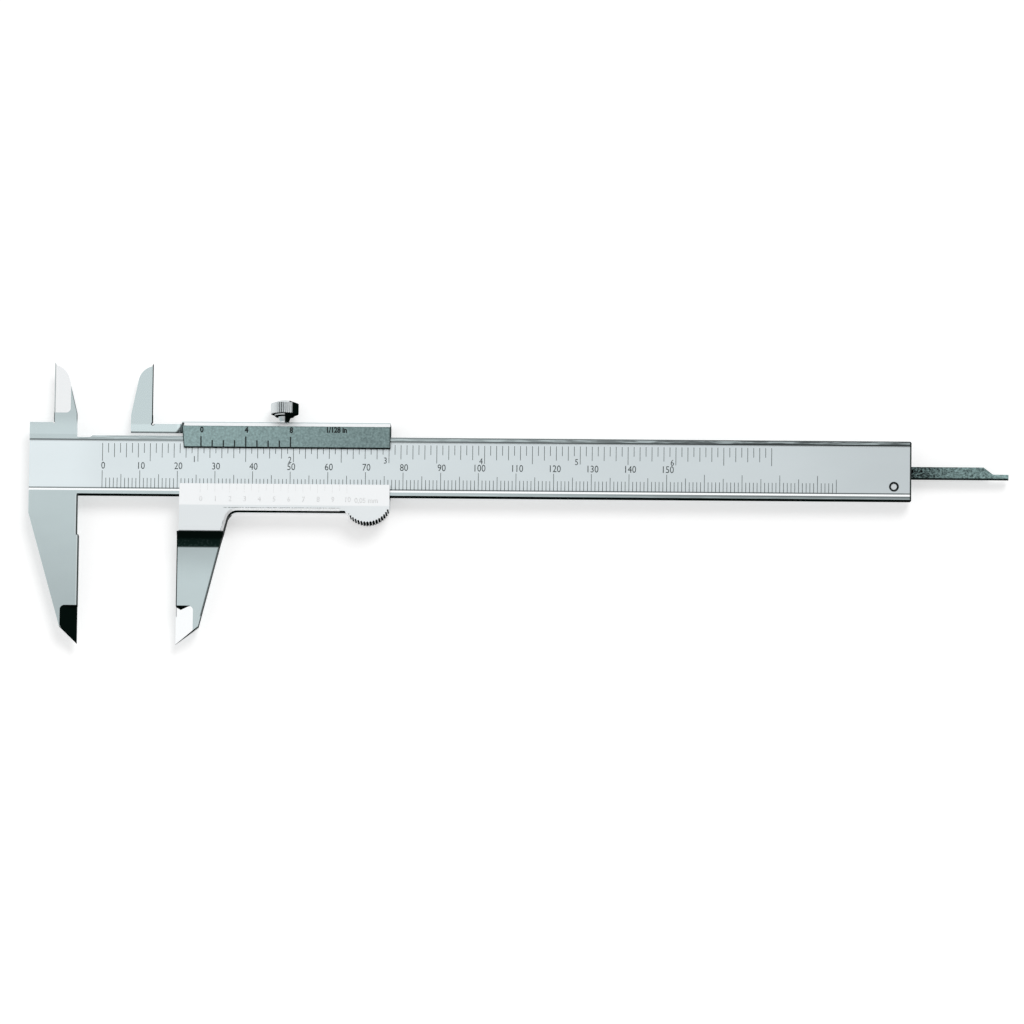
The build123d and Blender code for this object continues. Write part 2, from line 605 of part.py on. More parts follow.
# ---- Lock screw: its shank ends just above the gib -----------------------------------
with BuildPart() as lock_screw:
    collar = from_top(LOCK_X, TOP_Y + NECK)
    shoulder = COLLAR_HEIGHT + KNURL_LENGTH
    section = half_section(
        collar,
        (0, -NECK - TOP_WALL),
        (SHANK_RADIUS - EDGE_BREAK, -NECK - TOP_WALL),
        (SHANK_RADIUS, -NECK - TOP_WALL + EDGE_BREAK),
        (SHANK_RADIUS, -NECK_CONE),
        (NECK_RADIUS, 0),
        (COLLAR_RADIUS - COLLAR_CHAMFER, 0),
        (COLLAR_RADIUS, COLLAR_CHAMFER),
        (COLLAR_RADIUS, COLLAR_HEIGHT),
        (HEAD_RADIUS - EDGE_BREAK, COLLAR_HEIGHT),
        (HEAD_RADIUS, COLLAR_HEIGHT + EDGE_BREAK),
        (HEAD_RADIUS, shoulder),
        (CROWN_RADIUS, shoulder + CROWN_HEIGHT),
        (0, shoulder + CROWN_HEIGHT),
    )
    revolve(section, axis=Axis(collar.origin, collar.z_dir))
    with BuildSketch(from_top(LOCK_X, TOP_Y + NECK + COLLAR_HEIGHT)):
        knurls = round(360 / degrees(KNURL_PITCH / HEAD_RADIUS))
        with PolarLocations(HEAD_RADIUS, knurls):
            vee(KNURL_DEPTH, KNURL_PITCH)
    extrude(amount=KNURL_LENGTH + CROWN_HEIGHT, mode=Mode.SUBTRACT)
lock_screw.part.label = "lock_screw"


# ---- Depth rod and its rivets --------------------------------------------------------
with BuildPart() as depth_rod:
    with BuildSketch(slider_level(ROD_SINK, 0, -ROD_DROP)) as outline:
        edge = ROD_HEIGHT / 2
        nose = (ROD_REACH - NOSE_LENGTH, NOSE_HEIGHT - edge)
        with BuildLine():
            Polyline(
                (ROD_START, edge),
                (ROD_REACH - NOSE_LENGTH - NOSE_SLOPE, edge),
                nose,
                (ROD_REACH, NOSE_HEIGHT - edge),
                (ROD_REACH, -edge),
                (ROD_START, -edge),
                close=True,
            )
        make_face()
        fillet(outline.vertices().sort_by_distance(nose)[0], NOSE_BLEND)
    extrude(amount=ROD_THICK)
    for place in RIVET_PLACES:
        with Locations(slider_level(ROD_SINK + ROD_THICK, place, -ROD_DROP)):
            Hole(RIVET_RADIUS + PIN_FIT)
depth_rod.part.label = "depth_rod"


def rivet_section(place):
    """Plane at a rivet's foot, and the rivet's half section."""
    foot = slider_level(-BACK_Z, place, -ROD_DROP)
    end = BACK_Z + ROD_SINK + ROD_THICK - RIVET_SINK
    section = half_section(
        foot,
        (0, RIVET_SINK),
        (RIVET_RADIUS, RIVET_SINK),
        (RIVET_RADIUS, end),
        (0, end),
    )
    return foot, section


with BuildPart() as rod_rivet_left:
    foot, section = rivet_section(RIVET_PLACES[0])
    revolve(section, axis=Axis(foot.origin, foot.z_dir))
rod_rivet_left.part.label = "rod_rivet_left"

with BuildPart() as rod_rivet_right:
    foot, section = rivet_section(RIVET_PLACES[1])
    revolve(section, axis=Axis(foot.origin, foot.z_dir))
rod_rivet_right.part.label = "rod_rivet_right"


# ---- One file for each piece ---------------------------------------------------------
PIECES = (
    beam,
    end_plate,
    end_plate_screw_lower,
    end_plate_screw_upper,
    slider,
    gib_strip,
    gib_screw_left,
    gib_screw_right,
    lock_screw,
    depth_rod,
    rod_rivet_left,
    rod_rivet_right,
)
os.makedirs("parts", exist_ok=True)
for piece in PIECES:
    export_step(piece.part, f"parts/{piece.part.label}.step")
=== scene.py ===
import json
import math

import bpy
from bpy.props import FloatProperty, FloatVectorProperty, PointerProperty
from mathutils import Euler, Matrix, Vector


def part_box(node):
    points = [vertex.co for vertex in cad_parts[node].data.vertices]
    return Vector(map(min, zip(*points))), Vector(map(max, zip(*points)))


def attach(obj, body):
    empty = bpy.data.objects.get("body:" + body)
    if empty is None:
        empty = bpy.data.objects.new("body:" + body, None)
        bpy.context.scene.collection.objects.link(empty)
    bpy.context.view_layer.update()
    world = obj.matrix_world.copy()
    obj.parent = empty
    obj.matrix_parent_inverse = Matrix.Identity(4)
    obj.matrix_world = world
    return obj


bl_info = {
    "name": "Vernier caliper finish",
    "version": (1, 0, 0),
    "blender": (4, 5, 0),
    "location": "View3D > Sidebar > Caliper",
    "description": "Scales, metal finishes and a table for a vernier caliper with a depth rod",
    "category": "Object",
}

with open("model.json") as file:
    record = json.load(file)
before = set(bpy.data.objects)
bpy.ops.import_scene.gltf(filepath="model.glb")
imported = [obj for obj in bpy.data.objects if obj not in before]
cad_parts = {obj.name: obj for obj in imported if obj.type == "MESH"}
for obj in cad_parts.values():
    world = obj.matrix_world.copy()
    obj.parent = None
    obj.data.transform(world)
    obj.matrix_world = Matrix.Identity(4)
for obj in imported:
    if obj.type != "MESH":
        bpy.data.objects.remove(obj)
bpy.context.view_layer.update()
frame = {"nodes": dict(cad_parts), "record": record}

# ---- Datums, read from the frame -----------------------------------------------------
# Lengths named here are in metres; MM turns a size in millimetres into metres.
MM = 0.001
INCH = 25.4 * MM
MOUNTS = {mount["name"]: Vector(mount["pos_m"]) for mount in frame["record"]["mounts"]}
BEAM_LOW, BEAM_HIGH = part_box("beam")
SLIDER_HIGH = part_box("slider")[1]
PLATE_LOW, PLATE_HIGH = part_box("end_plate")
KNOB_LOW, KNOB_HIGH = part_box("lock_screw")
ROD_LOW, ROD_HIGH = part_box("depth_rod")
FIXED_X = MOUNTS["fixed_jaw_face"].x  # fixed measuring plane
MOVING_X = MOUNTS["moving_jaw_face"].x  # moving measuring plane
MID_Y = (PLATE_LOW.y + PLATE_HIGH.y) / 2  # the beam's centre line
BACK_Z = BEAM_LOW.z
FRONT_Z = BEAM_HIGH.z
LIP_FRONT_Z = SLIDER_HIGH.z

# ---- Sizes of the carrying metal -----------------------------------------------------
BEAM_HALF = 7.9 * MM
UPPER_RAIL = 0.95 * MM
LOWER_RAIL = 1.0 * MM
RAIL_SLOPE = 0.6 * MM
SCALE_RECESS = 0.3 * MM
FACE_HIGH = BEAM_HALF - UPPER_RAIL - RAIL_SLOPE  # from the centre line to the face's top
FACE_LOW = BEAM_HALF - LOWER_RAIL - RAIL_SLOPE
SCALE_Z = FRONT_Z - SCALE_RECESS
RUN = 0.05 * MM  # between the beam's rails and the slider's lips
LIP_EDGE = 0.4 * MM  # thickness of the lips beside the scales
UPPER_EDGE = 4.75 * MM  # from the centre line to the upper lip's thin edge
UPPER_TOP = 10.4 * MM  # from the centre line to the top of the upper lip's bevel
LOWER_EDGE = 4.9 * MM
LOWER_TOP = 10.85 * MM

# Places for the finishes, in millimetres: on the beam from the fixed measuring plane, on
# the slider from the moving one, across both from the centre line, and up from the back.
# A pair holds the two ends of a stretch over which a finish changes.
HALF = BEAM_HALF / MM
HIGH = FACE_HIGH / MM
LOW = FACE_LOW / MM
UPPER_CREST = HALF - UPPER_RAIL / MM  # inner edges of the rails
LOWER_CREST = HALF - LOWER_RAIL / MM
HEM = 0.22  # the scale face's finish goes this far up the slope above it
FACE_LEVEL = 3.0  # just below the scale face
MARKS_START = (-4, 8)  # painted light: the beam's head is lighter than its scales
FREE_END = (185, 215)
WEAR_AND_SHADE_START = (28, 60)  # the rails get more scratches and a painted darker shade along the beam
WEAR_AND_SHADE_END = (70, 190)
BEAM_END = 220.9
PLATE_SCREW = (216.3, -4.225)
SCREW_RING = (0.9, 1.32)  # radii of the painted shade ring around it
THIN_EDGE = 0.25  # width of the painted shade lines along edges

SLIDER_END = 56.35
SLIDER_TOP = 11.65
SLIDER_LOW = -12.2
LIP_START = 0.85  # left end of the slider's upper half, at its top
LIP_LEAN = 0.087  # how fast that end moves out on the way down
CHAMFER = 0.6  # width of the chamfer along the slider's lower edge
BEVEL_FOOT = -LOWER_TOP / MM  # the lower bevel ends here
BODY_LEVEL = 3.52  # just above the beam's rails
THUMB_START = 44.6  # the thumb rest's left flank begins here
THUMB = (50.35, -8.85)  # its centre
THUMB_RADIUS = 6.5
THROAT = 12.5  # the lower edge runs straight from here to the thumb rest

PAINTED_JAW_LIGHT = (-38, -8)  # painted light: the fixed outside jaw lightens upwards
JAW_RELIEF = 0.5  # set-back of the outside jaws above their measuring faces
FACE_TOP = -18.8  # upper end of the outside measuring faces
STEP_TOP = -17.9  # the slider's thick body ends here
STEP_FOOT = -22.0
KNIFE_TOP = -37.75  # upper end of the outside knife facets
KNEE = (6.0, -43.2)  # where the moving outside jaw's back edge turns towards the tip
BACK_SLOPE = 0.2475  # how fast that edge moves out on the way up

BLADE_EDGE = -7.05  # measuring edge of the inside blades
ARM_TOP = 11.35
ARM_FOOT = 9.0  # lower edge of the arm that carries the moving inside blade
PAINTED_ROOT_LIGHT = (9.5, 14)  # painted light: the fixed blade's root lightens downwards
SHOULDER = 13.75  # the inside blades begin to narrow here
FIXED_ROOT = 6.2  # width of the fixed inside blade at its root
FLANK = BLADE_EDGE + FIXED_ROOT
FLANK_SLOPE = 0.242  # how fast it narrows

CROWN_FOOT = -0.85  # on the lock screw, from its top
KNURL_FOOT = -3.7

ROD_FADE = (-27, -12)  # on the depth rod, from its tip; painted light makes it lighter towards the tip
ROD_NOSE = (-4.6, -3.6)  # painted light: its thin nose is lighter
ROD_HALF = (ROD_HIGH.y - ROD_LOW.y) / 2 / MM

STEP_WIDTH = 0.1  # width of a mask's usual step, in millimetres

# Parts of a normal: the mask of a face changes from 0 to 1 between the two values.
LEANING = (0.12, 0.22)  # faces that lean a little that way
FACING = (0.5, 0.7)  # faces that look mostly that way
OPEN = (0.3, 0.6)  # faces that are no upright walls
LEVEL = (0.9, 0.99)

# Noise: how many cells go to a millimetre along X, Y and Z.
CLOUD = (0.05, 0.12, 0.12)
GRAIN = (2.2, 2.6, 2.6)

# ---- Scales and lettering ------------------------------------------------------------
MILLIMETRE_SCALE = 195  # value of the last millimetre line
MILLIMETRE_FIGURES = 150  # value of the last millimetre figure
INCH_SCALE = 7
INCH_GAP = 0.45 * MM  # between the inch lines and the scale face's top
LINE_GAP = 0.05 * MM  # between the verniers' lines and their lips' thin edges
FIGURE_WIDTH = 0.86  # the figures are narrower than the type
CAP_HEIGHT = 0.70  # height of a figure as a share of the type size
FINE_STROKE = 0.001  # change of the strokes' outline, as a share of the type size
BOLD_STROKE = 0.045

# Middle of a scale's nought, along it from the zero line, and across it from the centre line
# on the beam and from the thin edge on the slider's lips.
MILLIMETRE_ROW = (0.22 * MM, -0.1 * MM)
INCH_ROW = (-0.95 * MM, 1.75 * MM)
INCH_VERNIER_ROW = (0.22 * MM, 4.8 * MM)
MILLIMETRE_VERNIER_ROW = (0.22 * MM, -4.3 * MM)
INCH_UNIT = (36.0 * MM, 4.95 * MM)  # middle of the words on the upper lip
INCH_UNIT_HEIGHT = 1.4 * MM
MILLIMETRE_UNIT = (44.2 * MM, -4.5 * MM)

# ---- Stage ---------------------------------------------------------------------------
LOOK_X = 115.09 * MM  # middle of the picture, from the fixed measuring plane
LOOK_Y = -11.88 * MM
TABLE_GLOW = 1.355  # brightness that the white table adds by itself
TABLE_SHARE = 0.352  # how much of the table's look is that glow
SKY_LEVEL = 0.62
CARD_LEVEL = 1.12  # reflections: the bright cards at the left and behind,
FRONT_LEVEL = 0.62  # the grey one in front
DARK_LEVEL = 0.02  # and the dark one at the right
KEY_LEVEL = 1.2
KEY_TOWARDS = Vector((0.34, 0.70, 1.0))
KEY_ANGLE = math.radians(26)


# ---- Settings ------------------------------------------------------------------------
def length_setting(name, description, millimetres):
    """A length that can be set in the panel."""
    return FloatProperty(
        name=name, description=description, default=millimetres * MM, unit="LENGTH"
    )


def angle_setting(name, description, degrees):
    """An angle that can be set in the panel."""
    return FloatProperty(
        name=name, description=description, default=math.radians(degrees), unit="ROTATION"
    )


def colour_setting(name, description, default):
    """A colour that can be set in the panel."""
    return FloatVectorProperty(
        name=name, description=description, default=default,
        subtype="COLOR", size=3, min=0, max=1,
    )


class ScaleSizes(bpy.types.PropertyGroup):
    """Sizes of the engraved scales."""

    zero_offset: length_setting("Zero line", "From a measuring plane to its zero line", 6.02)
    line_width: length_setting("Line width", "Width of an engraved line", 0.15)
    bold_width: length_setting("Bold width", "Width of a line of the inch vernier", 0.36)
    faint_width: length_setting("Faint width", "Width of a line of the millimetre vernier", 0.10)
    ink_height: length_setting("Ink height", "How far the filling stands above the metal", 0.012)
    ink_sink: length_setting("Ink depth", "How deep the filling goes into the metal", 0.03)
    millimetre_length: length_setting("Millimetre line", "Length of a plain millimetre line", 2.85)
    fifth_length: length_setting("Fifth line", "Length of every fifth millimetre line", 3.85)
    tenth_length: length_setting("Tenth line", "Length of every tenth millimetre line", 4.85)
    sixteenth_length: length_setting(
        "Sixteenth line", "Length of an odd sixteenth of an inch line", 2.6
    )
    eighth_length: length_setting("Eighth line", "Length of an eighth of an inch line", 3.85)
    half_length: length_setting("Half inch line", "Length of every half inch line", 4.85)
    inch_vernier_length: length_setting(
        "Inch vernier line", "Length of a plain line of the inch vernier", 1.95
    )
    inch_vernier_long: length_setting(
        "Inch vernier long line", "Length of its every fourth line", 2.95
    )
    vernier_length: length_setting(
        "Vernier line", "Length of an odd line of the millimetre vernier", 1.9
    )
    vernier_long: length_setting("Vernier long line", "Length of its every second line", 2.5)
    millimetre_figure: length_setting(
        "Millimetre figures", "Height of the millimetre figures", 1.85
    )
    inch_figure: length_setting("Inch figures", "Height of the inch figures", 1.65)
    vernier_figure: length_setting("Vernier figures", "Height of the figures on the slider", 1.45)


class FinishColours(bpy.types.PropertyGroup):
    """Colours of the metals and of the scales' filling."""

    ground_steel: colour_setting("Ground steel", "Jaws and other ground faces", (0.43, 0.50, 0.51))
    satin_chrome: colour_setting("Satin chrome", "Scale face of the beam", (0.762, 0.834, 0.857))
    pale_chrome: colour_setting(
        "Pale chrome", "Thick body of the slider below the beam", (0.825, 0.866, 0.882)
    )
    # Painted highlight: this near-white stands in for reflections of the bright surroundings on
    # slopes, chamfers, knife facets, tooth crests and glints.
    painted_highlight: colour_setting(
        "Bright chrome", "Polished slopes, chamfers and knife facets", (0.92, 0.94, 0.95)
    )
    blasted_steel: colour_setting("Blasted steel", "Upper lip of the slider", (0.38, 0.53, 0.53))
    # Painted shade: this matt black stands in for shadows and dark reflections on edges, downward
    # faces, hollows and dark facets.
    painted_shade_black: colour_setting(
        "Dark edge", "Lower edges, worn edges and other matt black places", (0.002, 0.005, 0.004)
    )
    rod_steel: colour_setting("Rod steel", "Depth rod", (0.22, 0.32, 0.315))
    bright_steel: colour_setting(
        "Bright steel", "Knurled screw and other turned pieces", (0.66, 0.70, 0.71)
    )
    brass: colour_setting("Brass", "Gib strip", (0.66, 0.49, 0.22))
    ink: colour_setting(
        "Scale filling", "Filling of the engraved lines and figures", (0.030, 0.042, 0.042)
    )
    bold_ink: colour_setting(
        "Vernier filling", "Filling of the inch vernier", (0.008, 0.014, 0.014)
    )
    faint_ink: colour_setting(
        "Faint filling", "Filling of the millimetre vernier", (0.62, 0.64, 0.64)
    )


class StageSettings(bpy.types.PropertyGroup):
    """Camera of the table top picture."""

    camera_distance: length_setting(
        "Camera distance", "From the lens to the middle of the picture", 3000
    )
    camera_front: angle_setting(
        "Camera front", "Lean of the line of sight towards the jaws' tips", 9.0
    )
    camera_right: angle_setting(
        "Camera right", "Lean of the line of sight towards the beam's free end", 1.7
    )
    camera_roll: angle_setting(
        "Camera roll", "Turn of the camera about its own line of sight", 0.46
    )
    lens: FloatProperty(name="Lens", description="Focal length, in millimetres", default=397.6)


# ---- Shader maths --------------------------------------------------------------------
class Value:
    """A shader socket that takes part in Python arithmetic."""

    def __init__(self, finish, socket):
        self.finish = finish
        self.socket = socket

    def _maths(self, operation, *values):
        inputs = dict(enumerate(values))
        return self.finish.node("ShaderNodeMath", {"operation": operation}, inputs)

    def __add__(self, other):
        return self._maths("ADD", self, other)

    __radd__ = __add__

    def __sub__(self, other):
        return self._maths("SUBTRACT", self, other)

    def __rsub__(self, other):
        return self._maths("SUBTRACT", other, self)

    def __mul__(self, other):
        return self._maths("MULTIPLY", self, other)

    __rmul__ = __mul__

    def squared(self):
        return self._maths("MULTIPLY", self, self)

    def root(self):
        return self._maths("SQRT", self)

    def most(self, other):
        return self._maths("MAXIMUM", self, other)

    def rise(self, low, high):
        """0 below low and 1 above high, with a smooth step between them."""
        values = {"Value": self, "From Min": low, "From Max": high}
        return self.finish.node("ShaderNodeMapRange", {"interpolation_type": "SMOOTHSTEP"}, values)

    def past(self, place):
        """0 before a place and 1 from a step's width after it."""
        return self.rise(place, place + STEP_WIDTH)

    def band(self, low, high, soft=STEP_WIDTH / 2):
        """1 between low and high, and 0 outside them, with edges twice soft wide."""
        return self.rise(low - soft, low + soft) * (1 - self.rise(high - soft, high + soft))


class Finish:
    """A procedural material, or the world's shader, drawn with Value arithmetic."""

    def __init__(self, owner):
        owner.use_nodes = True
        self.tree = owner.node_tree
        self.tree.nodes.clear()
        self.colour = None
        self.black = None

    def node(self, kind, settings=None, inputs=None, output=0):
        """Adds a node, sets it up, fills or links its sockets and gives one output."""
        made = self.tree.nodes.new(kind)
        for name, value in (settings or {}).items():
            setattr(made, name, value)
        for name, value in (inputs or {}).items():
            if isinstance(value, Value):
                self.tree.links.new(value.socket, made.inputs[name])
            else:
                made.inputs[name].default_value = value
        return Value(self, made.outputs[output]) if made.outputs else None

    def mix(self, share, first, second):
        """Colour between first and second."""
        colours = [c if isinstance(c, Value) else (*c[:3], 1) for c in (first, second)]
        values = {0: share, 6: colours[0], 7: colours[1]}
        return self.node("ShaderNodeMix", {"data_type": "RGBA"}, values, output=2)

    def tint(self, colour, shade):
        """A colour made lighter or darker by a shade."""
        values = {"Vector": tuple(colour), "Scale": shade}
        return self.node("ShaderNodeVectorMath", {"operation": "SCALE"}, values)

    def two_tone(self, share, colour, dark, light=1.0):
        """A colour that varies between two shades of itself."""
        tones = [tuple(shade * part for part in colour) for shade in (dark, light)]
        return self.mix(share, *tones)

    def paint(self, mask, colour, shade=1.0):
        """Lays a colour, or a shade of it, over the finish where the mask is 1."""
        layer = colour if isinstance(colour, Value) else self.tint(colour, shade)
        self.colour = self.mix(mask, self.colour, layer)

    def point(self, origin=(0, 0, 0)):
        """Place on the object from an origin, in millimetres, as three values."""
        place = self.node("ShaderNodeTexCoord", output="Object")
        shift = [-value / MM for value in origin]
        inputs = {"Vector": place, "Location": shift, "Scale": (1 / MM, 1 / MM, 1 / MM)}
        self.place = self.node("ShaderNodeMapping", {"vector_type": "POINT"}, inputs)
        return self.parts(self.place)

    def normal(self):
        """The three parts of the object's own normal."""
        return self.parts(self.node("ShaderNodeTexCoord", output="Normal"))

    def parts(self, vector):
        """The three parts of a vector."""
        split = self.node("ShaderNodeSeparateXYZ", inputs={"Vector": vector}).socket.node
        return [Value(self, output) for output in split.outputs]

    def noise(self, grain, detail=2.0):
        """Noise on the place; grain is how many cells go to a millimetre along X, Y and Z."""
        inputs = {"Vector": self.place, "Scale": grain}
        place = self.node("ShaderNodeMapping", inputs=inputs)
        inputs = {"Vector": place, "Scale": 1.0, "Detail": detail}
        return self.node("ShaderNodeTexNoise", inputs=inputs)

    def paint_black_shade(self, mask):
        """Paints shade: makes the steel matt black where the mask is 1, in place of shadows and
        dark reflections.
        """
        self.black = mask if self.black is None else self.black.most(mask)

    def steel(self, colour, roughness, bump=None, distance=0.02 * MM, strength=0.3):
        """Metal surface from its varying colour, roughness and bump."""
        values = {"Metallic": 1.0, "Roughness": roughness, "Base Color": colour}
        if bump is not None:
            heights = {"Height": bump, "Distance": distance, "Strength": strength}
            values["Normal"] = self.node("ShaderNodeBump", inputs=heights)
        surface = self.node("ShaderNodeBsdfPrincipled", inputs=values)
        # Painted shade: matt black is mixed in where the masks lay shadows and dark reflections.
        if self.black is not None:
            black = (*bpy.context.scene.caliper_colours.painted_shade_black, 1)
            matt = self.node("ShaderNodeBsdfDiffuse", inputs={"Color": black})
            values = {0: self.black, 1: surface, 2: matt}
            surface = self.node("ShaderNodeMixShader", inputs=values)
        self.node("ShaderNodeOutputMaterial", inputs={"Surface": surface})


class SteelFinish(Finish):
    """Finish of a large piece of steel, with what its layers share."""

    def __init__(self, owner, colours, origin):
        super().__init__(owner)
        self.colours = colours
        self.ground = colours.ground_steel
        self.bright = colours.painted_highlight
        self.x, self.y, self.z = self.point(origin)
        self.across, self.along, self.up = self.normal()
        self.faces_left = (0 - self.across).rise(*LEANING) * self.up.rise(*OPEN)
        self.faces_right = self.across.rise(*LEANING) * self.up.rise(*OPEN)
        self.cloud = self.noise(CLOUD, detail=3.0)
        self.grain = self.noise(GRAIN, detail=3.0)

    def distance(self, point):
        """Distance in plan from a point, in millimetres."""
        return ((self.x - point[0]).squared() + (self.y - point[1]).squared()).root()


class BeamFinish(SteelFinish):
    """Satin scale face, scratched rails and ground jaws, with painted light and shade: lighter and
    darker stretches, painted highlights, and dark edges and downward faces painted black.
    """

    def __init__(self, owner, colours):
        super().__init__(owner, colours, (FIXED_X, MID_Y, BACK_Z))
        self.brush = self.noise((7.0, 0.35, 1.0))
        self.front = self.z.past(FACE_LEVEL) * self.up.rise(*FACING)
        self.face = self.y.band(-LOW, HIGH + HEM, 0.02) * self.front
        self.below_beam = 1 - self.y.rise(-HALF - 0.3, -HALF)

    def jaws(self):
        """Ground jaws, with painted light that makes them lighter towards the beam and above it.
        """
        y = self.y
        shade = (1.02 + self.brush * 0.05 + self.cloud * 0.12) * (0.9 + y.rise(*PAINTED_JAW_LIGHT) * 0.2)
        above = y.rise(HALF, HALF + 0.5)
        root = above * (1 - y.rise(*PAINTED_ROOT_LIGHT))
        self.colour = self.tint(self.ground, shade * (0.99 - above * 0.04 + root * 0.14))

    def scale_face(self):
        """Satin face with a painted light gradient: lightest on the beam's head and darkest at the
        free end.
        """
        x = self.x
        shade = 0.98 - x.rise(-20, 240) * 0.165 + self.cloud * 0.06 + self.grain * 0.03
        shade = shade + (1 - x.rise(*MARKS_START)) * 0.07 - x.rise(*FREE_END) * 0.06
        self.paint(self.face, self.colours.satin_chrome, shade)

    def rails(self):
        """Rails, scratched along the beam where the slider runs, and with painted shade darker
        towards the end.
        """
        x, y, ground = self.x, self.y, self.ground
        near, far = x.rise(*WEAR_AND_SHADE_START), x.rise(*WEAR_AND_SHADE_END)
        rail = self.front * x.rise(-1, 0)
        streak = self.noise((0.22, 3.4, 1.0), detail=3.0)
        share = streak.rise(0.36, 0.6) * (0.35 + far * 0.6)
        scratched = self.scratches(share, 1.25 - far * 0.35, 0.18)
        self.paint(y.band(UPPER_CREST, HALF, 0.02) * rail, scratched)
        scratched = self.scratches(share * 0.45, 1.35 - far * 0.55, 0.4)
        self.paint(y.band(-HALF, -LOWER_CREST, 0.02) * rail, scratched)

        # Painted light and shade lines on the inner edges of both rails, and on the outer edge of
        # the upper one.
        inner = y.band(-LOWER_CREST - 0.45, -LOWER_CREST, 0.06) * rail
        self.paint(inner, ground, 1.2 - far * 0.8)
        inner = y.band(HIGH + HEM, UPPER_CREST) * self.front
        self.paint(inner, ground, 0.6 + x.rise(2, 18) * 0.3 - near * 0.28 - far * 0.5)
        outer = y.band(HALF - 0.32, HALF + 0.2) * self.front * x.rise(0, 30)
        self.paint(outer, ground, 0.85 - near * 0.35 - far * 0.3)

    def scratches(self, share, light, dark):
        """Two shades of ground steel."""
        return self.mix(share, self.tint(self.ground, light), self.tint(self.ground, dark))

    def lower_slope(self):
        """Painted highlight on the slope under the scale face, with a thin line of painted shade
        above it.
        """
        y, front = self.y, self.front
        self.paint(y.band(-LOWER_CREST, -LOW, 0.03) * front, self.bright, 0.98)
        line = y.band(-LOW - 0.03, -LOW + 0.3) * front
        self.paint(line, self.ground, 0.5 - self.x.rise(40, 80) * 0.17)

    def edges(self):
        """Painted shade: dark lines on the measuring edges, the blade's flank and the free end,
        and matt black faces that look down; also a painted glint beside the measuring edges.
        """
        x, y = self.x, self.y
        from_edge = x + y.rise(FACE_TOP - 0.3, FACE_TOP + 0.3) * JAW_RELIEF
        glint = from_edge.band(-1.9 * THIN_EDGE, -THIN_EDGE) * self.up.rise(*LEVEL)
        self.paint(glint * self.below_beam * 0.3, self.bright, 0.98)
        edge = from_edge.rise(-THIN_EDGE, 0.04 - THIN_EDGE)
        self.paint_black_shade(edge * self.below_beam * 0.8)
        from_flank = x - FLANK + (y - SHOULDER).most(0) * FLANK_SLOPE
        flank = from_flank.past(-0.24) * y.band(SHOULDER - 2.0, SHOULDER + 6.5, 1.0)
        self.paint_black_shade(flank * 0.55)
        self.paint_black_shade(x.past(BEAM_END - 0.45) * 0.95)
        self.paint_black_shade((0 - self.along).rise(*FACING))

    def facets(self):
        """Knife facets with painted reflections: the inside one is painted to shine and the
        outside one dark; a painted shade line runs along the blade's edge.
        """
        x, y = self.x, self.y
        self.paint(self.faces_left * y.rise(9, 10), self.bright, 0.85)
        self.paint_black_shade(self.faces_right * self.below_beam)
        edge = 1 - x.rise(BLADE_EDGE + 0.15, BLADE_EDGE + 0.3)
        shade = 0.25 + y.rise(ARM_TOP + 1, ARM_TOP + 6) * 0.4
        self.paint(edge * y.past(ARM_TOP), self.ground, shade)

    def plate_screw(self):
        """Painted shade: a dark ring around the end of the end plate's screw."""
        ring = self.distance(PLATE_SCREW).band(*SCREW_RING)
        self.paint_black_shade(ring * self.z.rise(2.0, 2.2) * 0.95)


